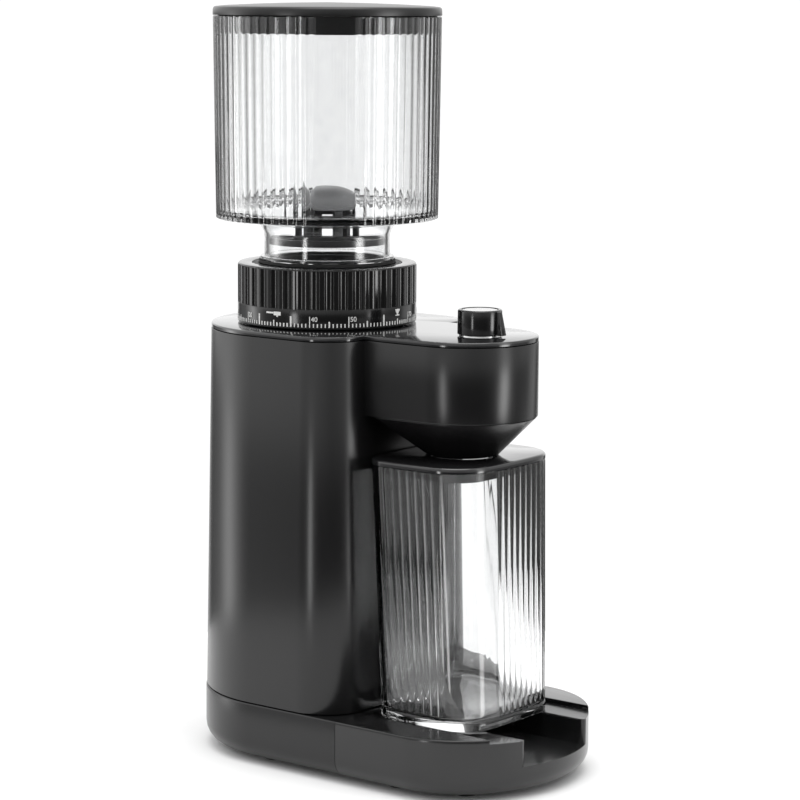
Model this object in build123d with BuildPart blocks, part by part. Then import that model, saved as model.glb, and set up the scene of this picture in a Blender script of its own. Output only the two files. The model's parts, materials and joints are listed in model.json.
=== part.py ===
"""Burr coffee grinder: a free-standing grinder with a bean hopper, an adjusting dial, a motor
column, a discharge head with its funnel, a removable grounds jar and a base with a front tray.

Units are millimetres, +Z is up and the front of the machine faces -Y.  The origin is the centre
of the footprint, on the surface that the feet stand on.  The grinding axis (hopper, dial, burrs
and output shaft) is the vertical line at X = 0, Y = AXIS_Y.
"""
from build123d import *
from math import cos, radians, sin, tan
import os

os.makedirs("parts", exist_ok=True)

# ---------------------------------------------------------------- driving dimensions
AXIS_Y = 47.5            # grinding axis
WALL = 2.6               # wall of the moulded housings
SEAM = 0.3               # visible joint between two mouldings

# base
BASE_HALF = 68.0         # half width, and radius of the round back
NOSE_Y = -58.0           # where the straight flanks end and the elliptical nose starts
NOSE_DEPTH = 57.5        # length of the elliptical nose
FOOT_HEIGHT = 3.0
BASE_TOP = 34.4
BASE_ROUND = 10.0        # rounding of the underside
TRAY_SEAM_Y = -14.0      # joint between the front tray and the base shell
LEDGE_Z = 32.0           # ledge that the jar stands on
LEDGE_HALF = 46.0        # half width of the jar bay between the rims
CHANNEL_HALF = 27.0      # half width of the deep channel
CHANNEL_Z = 18.0         # floor of the channel

# motor column
BODY_HALF = 67.6         # half width where the column meets the base
BODY_FRONT = -12.8       # front face there
BODY_CORNER = 26.5       # radius of the front corners
BODY_DRAFT = 0.96        # degrees of draft
HOUSING_Z = (34.9, 236.6)
COVER_Z = (236.9, 239.5)

# discharge head and funnel
HEAD_HALF = 38.5
HEAD_NOSE = -87.2
HEAD_CORNER = 37.0
HEAD_BOTTOM = 196.0
SPOUT_Y = -47.0
SPOUT_RADIUS = 20.3
SPOUT_Z = 175.6

# adjusting dial
DIAL_RADIUS = 49.6
DIAL_Z = (240.3, 272.6)
DIAL_BAND_TOP = 250.9    # top of the smooth band that carries the scale
DIAL_FLUTES = 40

# hopper
HOPPER_TOP_RADIUS = 62.9
HOPPER_LOW_RADIUS = 61.5
HOPPER_Z = (297.0, 407.6)
NECK_RADIUS = 34.8
TOTAL_HEIGHT = 415.0

# jar
JAR_Z = (32.3, 170.8)
JAR_LID_TOP = 174.4
JAR_WALL = 2.3
JAR_BOW = 300.0          # radius of the gently bowed front

# selector knob
KNOB_Y = -57.8
KNOB_RADIUS = 12.1
KNOB_Z = (240.5, 253.8)

# drive
MOTOR_Y = 77.5           # motor axis
MOTOR_RADIUS = 29.0
MOTOR_Z = (80.0, 157.8)
PLATE_Z = (158.0, 162.0)
GEAR_MODULE = 1.0
GEAR_TEETH = 48
PINION_TEETH = 12
CHAMBER_Z = (202.0, 232.0)


# ---------------------------------------------------------------- shared outlines
def base_plan(inset):
    """Footprint of the base: half circle behind, straight flanks, half ellipse in front."""
    half = BASE_HALF - inset
    with BuildLine() as outline:
        CenterArc((0, AXIS_Y), half, 0, 180)
        Line((-half, AXIS_Y), (-half, NOSE_Y))
        EllipticalCenterArc((0, NOSE_Y), half, NOSE_DEPTH - inset, start_angle=180, arc_size=180)
        Line((half, NOSE_Y), (half, AXIS_Y))
    make_face(outline.edges())


def body_plan(inset, mode=Mode.ADD):
    """Plan of the motor column: half circle behind, flanks and two rounded front corners."""
    half = BODY_HALF - inset
    corner = BODY_CORNER - inset
    front = BODY_FRONT + inset
    with BuildLine() as outline:
        CenterArc((0, AXIS_Y), half, 0, 180)
        Line((-half, AXIS_Y), (-half, front + corner))
        CenterArc((-half + corner, front + corner), corner, 180, 90)
        Line((-half + corner, front), (half - corner, front))
        CenterArc((half - corner, front + corner), corner, 270, 90)
        Line((half, front + corner), (half, AXIS_Y))
    make_face(outline.edges(), mode=mode)


def head_plan(inset, rear, mode=Mode.ADD):
    """Plan of the discharge head: parallel flanks and a nose with large corner radii."""
    half = HEAD_HALF - inset
    nose = HEAD_NOSE + inset
    corner = HEAD_CORNER - inset
    with BuildLine() as outline:
        Line((half, rear), (-half, rear))
        Line((-half, rear), (-half, nose + corner))
        CenterArc((-half + corner, nose + corner), corner, 180, 90)
        Line((-half + corner, nose), (half - corner, nose))
        CenterArc((half - corner, nose + corner), corner, 270, 90)
        Line((half, nose + corner), (half, rear))
    make_face(outline.edges(), mode=mode)


def bowed_plan(half, front, rear, front_round, rear_round):
    """Jar outline: a rectangle with a bowed front and rounded corners."""
    with BuildSketch(mode=Mode.PRIVATE) as plan:
        with Locations((0, (front + rear) / 2)):
            Rectangle(2 * half, rear - front)
        with Locations((0, front + JAR_BOW)):
            Circle(JAR_BOW, mode=Mode.INTERSECT)
        fillet(plan.vertices().group_by(Axis.Y)[0], front_round)
        fillet(plan.vertices().group_by(Axis.Y)[-1], rear_round)
    add(plan.sketch)


def funnel_plan(half, front, rear, front_round, rear_round):
    """Funnel outline: a rectangle with rounded corners."""
    with BuildLine() as outline:
        Line((half - rear_round, rear), (-half + rear_round, rear))
        CenterArc((-half + rear_round, rear - rear_round), rear_round, 90, 90)
        Line((-half, rear - rear_round), (-half, front + front_round))
        CenterArc((-half + front_round, front + front_round), front_round, 180, 90)
        Line((-half + front_round, front), (half - front_round, front))
        CenterArc((half - front_round, front + front_round), front_round, 270, 90)
        Line((half, front + front_round), (half, rear - rear_round))
        CenterArc((half - rear_round, rear - rear_round), rear_round, 0, 90)
    make_face(outline.edges())


def drafted_column(z_low, z_high, inset, mode=Mode.ADD):
    """Solid of the motor column between two heights, narrowing upwards with the draft."""
    sections = []
    for z in (z_low, z_high):
        with BuildSketch(Plane.XY.offset(z)) as section:
            body_plan(inset + (z - BASE_TOP) * tan(radians(BODY_DRAFT)))
        sections.append(section.sketch)
    loft(sections, ruled=True, mode=mode)


def ring_solid(centre_y, outline, mode=Mode.ADD):
    """Solid of revolution about the vertical axis at Y = centre_y from (radius, height) points."""
    with BuildSketch(Plane.XZ.offset(-centre_y)) as section:
        with BuildLine():
            Polyline(*outline, close=True)
        make_face()
    revolve(section.sketch, axis=Axis((0, centre_y, 0), (0, 0, 1)), mode=mode)


def disc(x, y, radius, z_low, z_high, mode=Mode.ADD):
    """Upright cylinder between two heights."""
    with BuildSketch(Plane.XY.offset(z_low)) as section:
        with Locations((x, y)):
            Circle(radius)
    extrude(section.sketch, amount=z_high - z_low, mode=mode)


def block(x_range, y_range, z_range, mode=Mode.ADD):
    """Box given by its three ranges."""
    with BuildSketch(Plane.XY.offset(z_range[0])) as section:
        with Locations((sum(x_range) / 2, sum(y_range) / 2)):
            Rectangle(x_range[1] - x_range[0], y_range[1] - y_range[0])
    extrude(section.sketch, amount=z_range[1] - z_range[0], mode=mode)


def screw(x, y, head_z, tip_z, head_radius, shank_radius, head_height):
    """Pan-head screw with a cross recess; the head lies on the side away from the tip."""
    up = 1 if head_z > tip_z else -1
    shoulder = head_z - up * head_height
    disc(x, y, head_radius, min(head_z, shoulder), max(head_z, shoulder))
    disc(x, y, shank_radius, min(shoulder, tip_z), max(shoulder, tip_z))
    recess = 0.6 * head_radius
    recess_end = head_z - up * 0.5 * head_height
    z_range = (min(head_z, recess_end), max(head_z, recess_end))
    block((x - recess, x + recess), (y - 0.3, y + 0.3), z_range, mode=Mode.SUBTRACT)
    block((x - 0.3, x + 0.3), (y - recess, y + recess), z_range, mode=Mode.SUBTRACT)


def spur_gear(centre_y, teeth, z_low, z_high, bore, first_angle):
    """Spur gear with straight-flanked teeth; first_angle is the direction of one tooth."""
    pitch_radius = GEAR_MODULE * teeth / 2
    root = pitch_radius - 1.25 * GEAR_MODULE
    tip = pitch_radius + 0.9 * GEAR_MODULE
    with BuildSketch(Plane.XY.offset(z_low)) as section:
        with Locations((0, centre_y)):
            Circle(root)
            with PolarLocations(0, teeth, start_angle=first_angle):
                Polygon((root - 0.4, -0.95), (pitch_radius, -0.64), (tip, -0.32),
                        (tip, 0.32), (pitch_radius, 0.64), (root - 0.4, 0.95), align=None)
            Circle(bore, mode=Mode.SUBTRACT)
    extrude(section.sketch, amount=z_high - z_low)


# ---------------------------------------------------------------- base
PLATE_INSET = 12.6                       # edge of the bottom plate from the footprint
SHELL_SCREWS = [(-34, 80), (34, 80), (-48, 10), (48, 10)]
TRAY_SCREWS = [(-38, -60), (38, -60)]
FEET = [(-47, 45), (47, 45), (-47, -42), (47, -42), (-37, -79), (37, -79), (-19, 87), (19, 87)]
FOOT_RADIUS = 7.0


def base_block():
    """Outer form of the base before it is divided into the shell and the tray."""
    with BuildSketch(Plane.XY.offset(FOOT_HEIGHT)) as section:
        base_plan(0)
    extrude(section.sketch, amount=BASE_TOP - FOOT_HEIGHT)
    fillet(edges().group_by(Axis.Z)[0], BASE_ROUND)
    fillet(edges().group_by(Axis.Z)[-1], 0.8)


def base_cavity(inset, z_low, z_high):
    """Hollow of the base between two heights."""
    with BuildSketch(Plane.XY.offset(z_low)) as section:
        base_plan(inset)
    extrude(section.sketch, amount=z_high - z_low, mode=Mode.SUBTRACT)


def screw_boss(x, y, z_high):
    """Boss that takes a bottom screw."""
    disc(x, y, 4.0, 6.5, z_high)
    disc(x, y, 1.45, 6.5, 20.0, mode=Mode.SUBTRACT)


SEAM_WALL = 3.0                          # walls either side of the tray joint
shell_front = TRAY_SEAM_Y + SEAM / 2
tray_rear = TRAY_SEAM_Y - SEAM / 2

with BuildPart() as base_shell:
    base_block()
    base_cavity(PLATE_INSET, FOOT_HEIGHT, 13.0)
    base_cavity(WALL, 13.0, BASE_TOP - 3.0)
    block((-58, 58), (shell_front, shell_front + SEAM_WALL), (6.5, BASE_TOP - 2.0))
    block((-80, 80), (-130, shell_front), (0, 40), mode=Mode.SUBTRACT)
    for x, y in SHELL_SCREWS:
        screw_boss(x, y, BASE_TOP - 3.0)
    # spigot that the column slips over
    with BuildSketch(Plane.XY.offset(BASE_TOP)):
        body_plan(WALL + 0.6)
        body_plan(WALL + 3.0, mode=Mode.SUBTRACT)
    extrude(amount=5.5)
    # cable hole in the deck and gland seat in the back wall
    disc(0, 92, 9.0, 30.0, 36.0, mode=Mode.SUBTRACT)
    with BuildSketch(Plane.XZ.offset(-120)):
        with Locations((0, 22)):
            Circle(6.2)
    extrude(amount=15, mode=Mode.SUBTRACT)
base_shell.part.label = "base_shell"
export_step(base_shell.part, "parts/base_shell.step")

with BuildPart() as front_tray:
    base_block()
    base_cavity(PLATE_INSET, FOOT_HEIGHT, 13.0)
    # pockets under the two ledges, left closed under the channel
    for side in (-1, 1):
        with BuildSketch(Plane.XY.offset(13.0)):
            base_plan(WALL)
            with Locations((side * -(80 - CHANNEL_HALF - WALL), 0)):
                Rectangle(160, 300, mode=Mode.SUBTRACT)
        extrude(amount=LEDGE_Z - 2.6 - 13.0, mode=Mode.SUBTRACT)
    block((-CHANNEL_HALF - 1, CHANNEL_HALF + 1), (-100, tray_rear), (12.0, CHANNEL_Z))
    block((-58, 58), (tray_rear - SEAM_WALL, tray_rear), (6.5, BASE_TOP - 2.0))
    # jar bay: ledges between the rims, and the deep channel that runs out of the nose
    block((-LEDGE_HALF, LEDGE_HALF), (-130, TRAY_SEAM_Y + 5), (LEDGE_Z, 40), mode=Mode.SUBTRACT)
    block((-CHANNEL_HALF, CHANNEL_HALF), (-130, tray_rear - SEAM_WALL - 2), (CHANNEL_Z, 40),
          mode=Mode.SUBTRACT)
    block((-80, 80), (tray_rear, 130), (0, 40), mode=Mode.SUBTRACT)
    for x, y in TRAY_SCREWS:
        screw_boss(x, y, LEDGE_Z - 2.0)
front_tray.part.label = "front_tray"
export_step(front_tray.part, "parts/front_tray.step")

with BuildPart() as bottom_plate:
    with BuildSketch(Plane.XY.offset(FOOT_HEIGHT)):
        base_plan(PLATE_INSET + 0.2)
    extrude(amount=2.8)
    for x, y in SHELL_SCREWS + TRAY_SCREWS:
        disc(x, y, 1.7, 0, 10, mode=Mode.SUBTRACT)
        disc(x, y, 3.3, 0, FOOT_HEIGHT + 1.4, mode=Mode.SUBTRACT)
    for x, y in FEET:
        disc(x, y, FOOT_RADIUS + 0.1, 0, FOOT_HEIGHT + 1.0, mode=Mode.SUBTRACT)
bottom_plate.part.label = "bottom_plate"
export_step(bottom_plate.part, "parts/bottom_plate.step")

with BuildPart() as rubber_feet:
    for x, y in FEET:
        disc(x, y, FOOT_RADIUS, 0, FOOT_HEIGHT + 1.0)
    chamfer(rubber_feet.edges().group_by(Axis.Z)[0], 0.8)
rubber_feet.part.label = "rubber_feet"
export_step(rubber_feet.part, "parts/rubber_feet.step")

with BuildPart() as plate_screws:
    for x, y in SHELL_SCREWS + TRAY_SCREWS:
        screw(x, y, FOOT_HEIGHT + 0.1, 16.0, 3.0, 1.35, 1.2)
plate_screws.part.label = "plate_screws"
export_step(plate_screws.part, "parts/plate_screws.step")

with BuildPart() as cord_gland:
    gland_axis = Axis((0, 0, 22), (0, 1, 0))
    with BuildSketch(Plane.YZ):
        with BuildLine():
            Polyline((109.5, 25.2), (109.5, 30), (112.4, 30), (112.4, 28.0), (115.2, 28.0),
                     (115.2, 26.2), (114.2, 25.2), close=True)
        make_face()
    revolve(axis=gland_axis)
cord_gland.part.label = "cord_gland"
export_step(cord_gland.part, "parts/cord_gland.step")

# ---------------------------------------------------------------- motor column
RIB_Z = (151.5, 154.5)                   # ledge that carries the damper
BOARD_X = 20.0
BOARD_Z = (64.0, 128.0)
BOARD_BACK = -3.0                        # face of the control board towards the front wall

with BuildPart() as main_housing:
    drafted_column(*HOUSING_Z, 0)
    drafted_column(*HOUSING_Z, WALL, mode=Mode.SUBTRACT)
    with BuildSketch(Plane.XY.offset(RIB_Z[0])):
        body_plan(WALL + 1.8)
        body_plan(WALL + 4.6, mode=Mode.SUBTRACT)
    extrude(amount=RIB_Z[1] - RIB_Z[0])
    # window for the chute, hidden inside the head
    block((-33, 33), (-20, 0), (200, 233), mode=Mode.SUBTRACT)
    for x in (-BOARD_X, BOARD_X):
        for z in (BOARD_Z[0] + 4, BOARD_Z[1] - 4):
            with BuildSketch(Plane.XZ.offset(-BOARD_BACK)):
                with Locations((x, z)):
                    Circle(2.6)
            extrude(amount=7.2)
main_housing.part.label = "main_housing"
export_step(main_housing.part, "parts/main_housing.step")

with BuildPart() as top_cover:
    with BuildSketch(Plane.XY.offset(COVER_Z[0])):
        body_plan((COVER_Z[0] - BASE_TOP) * tan(radians(BODY_DRAFT)))
        head_plan(0, 10)
        with Locations((0, AXIS_Y)):
            Circle(43.0, mode=Mode.SUBTRACT)
        with Locations((0, KNOB_Y)):
            Circle(4.0, mode=Mode.SUBTRACT)
    extrude(amount=COVER_Z[1] - COVER_Z[0])
    outer_rim = top_cover.faces().sort_by(Axis.Z)[-1].outer_wire().edges()
    fillet(outer_rim, 0.8)
top_cover.part.label = "top_cover"
export_step(top_cover.part, "parts/top_cover.step")

# ---------------------------------------------------------------- discharge head
with BuildPart() as head_housing:
    with BuildSketch(Plane.XY.offset(HEAD_BOTTOM)):
        head_plan(0, 6)
        head_plan(WALL, 8, mode=Mode.SUBTRACT)
    extrude(amount=HOUSING_Z[1] - HEAD_BOTTOM)
    drafted_column(HEAD_BOTTOM - 2, HOUSING_Z[1] + 2, -0.1, mode=Mode.SUBTRACT)
head_housing.part.label = "head_housing"
export_step(head_housing.part, "parts/head_housing.step")

FUNNEL_WALL = 2.4
funnel_rear = BODY_FRONT - 1.2

with BuildPart() as discharge_funnel:
    with BuildSketch(Plane.XY.offset(HEAD_BOTTOM - SEAM)):
        funnel_plan(HEAD_HALF - 0.5, HEAD_NOSE + 0.5, funnel_rear, HEAD_CORNER - 0.5, 3.0)
    with BuildSketch(Plane.XY.offset(SPOUT_Z)):
        funnel_plan(SPOUT_RADIUS, SPOUT_Y - SPOUT_RADIUS, SPOUT_Y + SPOUT_RADIUS,
                    SPOUT_RADIUS - 0.2, SPOUT_RADIUS - 0.2)
    loft(ruled=True)
    inner_spout = SPOUT_RADIUS - FUNNEL_WALL
    inner_top = HEAD_HALF - 0.5 - 1.4 * FUNNEL_WALL
    with BuildSketch(Plane.XY.offset(HEAD_BOTTOM - SEAM)):
        funnel_plan(inner_top, HEAD_NOSE + 0.5 + 1.4 * FUNNEL_WALL, funnel_rear - 1.4 * FUNNEL_WALL,
                    HEAD_CORNER - 0.5 - 1.4 * FUNNEL_WALL, 3.0)
    with BuildSketch(Plane.XY.offset(SPOUT_Z)):
        funnel_plan(inner_spout, SPOUT_Y - inner_spout, SPOUT_Y + inner_spout,
                    inner_spout - 0.2, inner_spout - 0.2)
    loft(ruled=True, mode=Mode.SUBTRACT)
discharge_funnel.part.label = "discharge_funnel"
export_step(discharge_funnel.part, "parts/discharge_funnel.step")

CHUTE_HALF = 15.0
CHUTE_Z = (206.0, 228.0)
CHUTE_WALL = 2.2
CHUTE_FRONT = -74.0

with BuildPart() as grounds_chute:
    block((-CHUTE_HALF, CHUTE_HALF), (CHUTE_FRONT, 9.0), CHUTE_Z)
    inner_half = CHUTE_HALF - CHUTE_WALL
    block((-inner_half, inner_half), (CHUTE_FRONT + CHUTE_WALL, 12.0),
          (CHUTE_Z[0] + CHUTE_WALL, CHUTE_Z[1] - CHUTE_WALL), mode=Mode.SUBTRACT)
    # open floor over the funnel, and a rear end that fits round the grinding chamber
    block((-inner_half, inner_half), (CHUTE_FRONT + CHUTE_WALL, -34.0),
          (CHUTE_Z[0] - 5, CHUTE_Z[0] + 10), mode=Mode.SUBTRACT)
    disc(0, AXIS_Y, 44.1, CHUTE_Z[0] - 5, CHUTE_Z[1] + 5, mode=Mode.SUBTRACT)
grounds_chute.part.label = "grounds_chute"
export_step(grounds_chute.part, "parts/grounds_chute.step")

# ---------------------------------------------------------------- selector knob
with BuildPart() as knob_collar:
    ring_solid(KNOB_Y, [(4.5, COVER_Z[1]), (11.2, COVER_Z[1]), (11.0, 240.2), (4.5, 240.2)])
knob_collar.part.label = "knob_collar"
export_step(knob_collar.part, "parts/knob_collar.step")

with BuildPart() as knob_encoder:
    block((-6.5, 6.5), (KNOB_Y - 6.5, KNOB_Y + 6.5), (228.3, 235.0))
    disc(0, KNOB_Y, 3.8, 235.0, 241.0)
    disc(0, KNOB_Y, 3.05, 230.0, 245.0, mode=Mode.SUBTRACT)
knob_encoder.part.label = "knob_encoder"
export_step(knob_encoder.part, "parts/knob_encoder.step")

BUTTON_SEAT = 250.2                      # floor of the recess in the top of the knob
BUTTON_RADIUS = 9.6

with BuildPart() as selector_knob:
    ring_solid(KNOB_Y, [(0, 241.4), (4.6, 241.4), (4.6, KNOB_Z[0]), (KNOB_RADIUS, KNOB_Z[0]),
                        (KNOB_RADIUS - 0.2, KNOB_Z[1] - 0.6), (KNOB_RADIUS - 0.8, KNOB_Z[1]),
                        (BUTTON_RADIUS + 0.3, KNOB_Z[1]), (BUTTON_RADIUS + 0.3, BUTTON_SEAT),
                        (0, BUTTON_SEAT)])
    # tapered pointer fin on the front of the skirt
    with BuildSketch(Plane.XY.offset(KNOB_Z[0])):
        with Locations((0, KNOB_Y - 13.2)):
            Rectangle(5.4, 6.0)
    with BuildSketch(Plane.XY.offset(KNOB_Z[1] - 0.6)):
        with Locations((0, KNOB_Y - 11.7)):
            Rectangle(3.4, 4.0)
    loft()
    disc(0, KNOB_Y, BUTTON_RADIUS + 0.3, BUTTON_SEAT, KNOB_Z[1] + 1, mode=Mode.SUBTRACT)
    disc(0, KNOB_Y, 3.02, 240.0, 247.0, mode=Mode.SUBTRACT)
selector_knob.part.label = "selector_knob"
export_step(selector_knob.part, "parts/selector_knob.step")

with BuildPart() as encoder_shaft:
    disc(0, KNOB_Y, 3.0, 230.5, 246.8)
encoder_shaft.part.label = "encoder_shaft"
export_step(encoder_shaft.part, "parts/encoder_shaft.step")

with BuildPart() as start_button:
    disc(0, KNOB_Y, BUTTON_RADIUS, 251.6, 254.4)
    fillet(start_button.edges().group_by(Axis.Z)[-1], 0.5)
start_button.part.label = "start_button"
export_step(start_button.part, "parts/start_button.step")

# ---------------------------------------------------------------- motor
with BuildPart() as motor_plate:
    with BuildSketch(Plane.XY.offset(PLATE_Z[0])):
        body_plan(8.0)
        with Locations((0, 4)):
            Rectangle(34, 12, mode=Mode.SUBTRACT)
    extrude(amount=PLATE_Z[1] - PLATE_Z[0])
    disc(0, AXIS_Y, 12.5, PLATE_Z[1], 166.3)
    disc(0, AXIS_Y, 9.02, 159.5, 170, mode=Mode.SUBTRACT)
    disc(0, MOTOR_Y, 7.0, 150, 165, mode=Mode.SUBTRACT)
    for x in (-18, 18):
        disc(x, MOTOR_Y, 2.2, 150, 165, mode=Mode.SUBTRACT)
motor_plate.part.label = "motor_plate"
export_step(motor_plate.part, "parts/motor_plate.step")

with BuildPart() as motor_damper:
    with BuildSketch(Plane.XY.offset(RIB_Z[1] + 0.1)):
        body_plan(5.0)
        body_plan(7.9, mode=Mode.SUBTRACT)
    extrude(amount=9.0)
motor_damper.part.label = "motor_damper"
export_step(motor_damper.part, "parts/motor_damper.step")

with BuildPart() as motor_can:
    disc(0, MOTOR_Y, MOTOR_RADIUS, *MOTOR_Z)
    disc(0, MOTOR_Y, MOTOR_RADIUS - 2.2, MOTOR_Z[0], MOTOR_Z[1] - 2.4, mode=Mode.SUBTRACT)
    disc(0, MOTOR_Y, 6.02, 150, 165, mode=Mode.SUBTRACT)
    for x in (-18, 18):
        disc(x, MOTOR_Y, 2.1, 150, 165, mode=Mode.SUBTRACT)
motor_can.part.label = "motor_can"
export_step(motor_can.part, "parts/motor_can.step")

with BuildPart() as motor_end_cap:
    disc(0, MOTOR_Y, MOTOR_RADIUS, 77.2, MOTOR_Z[0])
    disc(0, MOTOR_Y, 9.0, 73.0, 77.2)
    disc(0, MOTOR_Y, 6.02, 70, 90, mode=Mode.SUBTRACT)
    with BuildSketch(Plane.XY.offset(70)):
        with Locations((0, MOTOR_Y)):
            with PolarLocations(20, 8):
                SlotCenterToCenter(8, 4, rotation=0)
    extrude(amount=20, mode=Mode.SUBTRACT)
motor_end_cap.part.label = "motor_end_cap"
export_step(motor_end_cap.part, "parts/motor_end_cap.step")

with BuildPart() as motor_bearings:
    for z_low, z_high in ((73.2, 79.8), (151.0, 157.6)):
        disc(0, MOTOR_Y, 6.0, z_low, z_high)
        disc(0, MOTOR_Y, 2.55, z_low, z_high, mode=Mode.SUBTRACT)
motor_bearings.part.label = "motor_bearings"
export_step(motor_bearings.part, "parts/motor_bearings.step")

with BuildPart() as motor_magnets:
    with BuildSketch(Plane.XY.offset(90)):
        with Locations((0, MOTOR_Y)):
            Circle(MOTOR_RADIUS - 2.3)
            Circle(23.0, mode=Mode.SUBTRACT)
            Rectangle(12, 70, mode=Mode.SUBTRACT)
    extrude(amount=56)
motor_magnets.part.label = "motor_magnets"
export_step(motor_magnets.part, "parts/motor_magnets.step")

with BuildPart() as motor_brushes:
    for side in (-1, 1):
        block(sorted((side * 7.4, side * 16)), (MOTOR_Y - 3, MOTOR_Y + 3), (82.0, 86.5))
        block(sorted((side * 9, side * 15)), (MOTOR_Y - 3, MOTOR_Y + 3), (80.1, 82.0))
motor_brushes.part.label = "motor_brushes"
export_step(motor_brushes.part, "parts/motor_brushes.step")

with BuildPart() as motor_screws:
    for x in (-18, 18):
        screw(x, MOTOR_Y, 164.4, 152.0, 3.6, 2.0, 2.2)
motor_screws.part.label = "motor_screws"
export_step(motor_screws.part, "parts/motor_screws.step")

with BuildPart() as motor_shaft:
    disc(0, MOTOR_Y, 2.5, 64.2, 179.0)
motor_shaft.part.label = "motor_shaft"
export_step(motor_shaft.part, "parts/motor_shaft.step")

with BuildPart() as rotor_core:
    with BuildSketch(Plane.XY.offset(96)):
        with Locations((0, MOTOR_Y)):
            Circle(22.2)
            Circle(2.52, mode=Mode.SUBTRACT)
            with PolarLocations(22.2, 12):
                Rectangle(5, 2.2, mode=Mode.SUBTRACT)
    extrude(amount=44)
rotor_core.part.label = "rotor_core"
export_step(rotor_core.part, "parts/rotor_core.step")

with BuildPart() as rotor_windings:
    for z_low, z_high in ((89.5, 95.9), (140.1, 147.5)):
        disc(0, MOTOR_Y, 19.5, z_low, z_high)
        disc(0, MOTOR_Y, 9.0, z_low, z_high, mode=Mode.SUBTRACT)
    fillet(rotor_windings.edges().filter_by(GeomType.CIRCLE), 1.6)
rotor_windings.part.label = "rotor_windings"
export_step(rotor_windings.part, "parts/rotor_windings.step")

with BuildPart() as commutator:
    disc(0, MOTOR_Y, 7.0, 81.0, 89.0)
    disc(0, MOTOR_Y, 2.52, 81.0, 89.0, mode=Mode.SUBTRACT)
commutator.part.label = "commutator"
export_step(commutator.part, "parts/commutator.step")

with BuildPart() as cooling_fan:
    disc(0, MOTOR_Y, 25.0, 64.5, 66.0)
    disc(0, MOTOR_Y, 6.0, 66.0, 71.0)
    with BuildSketch(Plane.XY.offset(66.0)):
        with Locations((0, MOTOR_Y)):
            with PolarLocations(16, 9):
                Rectangle(18, 1.4, rotation=20)
    extrude(amount=5.0)
    disc(0, MOTOR_Y, 2.52, 60, 75, mode=Mode.SUBTRACT)
cooling_fan.part.label = "cooling_fan"
export_step(cooling_fan.part, "parts/cooling_fan.step")

with BuildPart() as pinion_gear:
    spur_gear(MOTOR_Y, PINION_TEETH, 167.0, 178.0, 2.52, 15)
pinion_gear.part.label = "pinion_gear"
export_step(pinion_gear.part, "parts/pinion_gear.step")

# ---------------------------------------------------------------- electronics
with BuildPart() as control_board:
    block((-24, 24), (BOARD_BACK, BOARD_BACK + 1.6), BOARD_Z)
control_board.part.label = "control_board"
export_step(control_board.part, "parts/control_board.step")

with BuildPart() as board_components:
    board_face = BOARD_BACK + 1.6
    block((-16, 2), (board_face, board_face + 15), (70, 88))
    block((8, 18), (board_face, board_face + 10), (72, 80))
    block((-14, 14), (board_face, board_face + 6), (110, 116))
    for z in (94, 103):
        with BuildSketch(Plane.XZ.offset(-board_face)):
            with Locations((12, z)):
                Circle(4)
        extrude(amount=-16)
board_components.part.label = "board_components"
export_step(board_components.part, "parts/board_components.step")

# ---------------------------------------------------------------- grinding drive
with BuildPart() as gear_housing:
    housing_z = (PLATE_Z[1] + 0.1, 184.0)
    for wall, z_range, mode in ((0, housing_z, Mode.ADD),
                                (2.2, (housing_z[0], 181.8), Mode.SUBTRACT)):
        with BuildSketch(Plane.XY.offset(z_range[0])):
            with Locations((0, AXIS_Y)):
                Circle(30 - wall)
            with Locations((0, MOTOR_Y)):
                Circle(13 - wall)
        extrude(amount=z_range[1] - z_range[0], mode=mode)
    disc(0, AXIS_Y, 5.5, 180, 190, mode=Mode.SUBTRACT)
gear_housing.part.label = "gear_housing"
export_step(gear_housing.part, "parts/gear_housing.step")

with BuildPart() as shaft_bearings:
    for z_low, z_high in ((159.6, 166.0), (194.1, 200.5)):
        disc(0, AXIS_Y, 9.0, z_low, z_high)
        disc(0, AXIS_Y, 4.05, z_low, z_high, mode=Mode.SUBTRACT)
shaft_bearings.part.label = "shaft_bearings"
export_step(shaft_bearings.part, "parts/shaft_bearings.step")

STANDOFF_RADIUS = 47.0
STANDOFF_ANGLES = (45, 135, 225, 315)
STANDOFFS = [(STANDOFF_RADIUS * cos(radians(a)), AXIS_Y + STANDOFF_RADIUS * sin(radians(a)))
             for a in STANDOFF_ANGLES]

with BuildPart() as chamber_standoffs:
    for x, y in STANDOFFS:
        disc(x, y, 4.5, PLATE_Z[1], CHAMBER_Z[0])
        disc(x, y, 1.65, 190, CHAMBER_Z[0], mode=Mode.SUBTRACT)
chamber_standoffs.part.label = "chamber_standoffs"
export_step(chamber_standoffs.part, "parts/chamber_standoffs.step")

with BuildPart() as grind_chamber:
    floor_top = CHAMBER_Z[0] + 3.5
    ring_solid(AXIS_Y, [(9.05, floor_top), (40, floor_top), (40, CHAMBER_Z[1]), (44, CHAMBER_Z[1]),
                        (44, floor_top), (51, floor_top), (51, CHAMBER_Z[0]), (13, CHAMBER_Z[0]),
                        (13, 192), (6.5, 192), (6.5, 194), (9.05, 194)])
    block((-12.6, 12.6), (0, 12), (CHUTE_Z[0] + CHUTE_WALL, CHUTE_Z[1] - CHUTE_WALL),
          mode=Mode.SUBTRACT)
    for x, y in STANDOFFS:
        disc(x, y, 1.8, 200, 207, mode=Mode.SUBTRACT)
grind_chamber.part.label = "grind_chamber"
export_step(grind_chamber.part, "parts/grind_chamber.step")

with BuildPart() as chamber_screws:
    for x, y in STANDOFFS:
        screw(x, y, floor_top + 2.0, 192.0, 2.7, 1.6, 1.9)
chamber_screws.part.label = "chamber_screws"
export_step(chamber_screws.part, "parts/chamber_screws.step")

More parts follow.
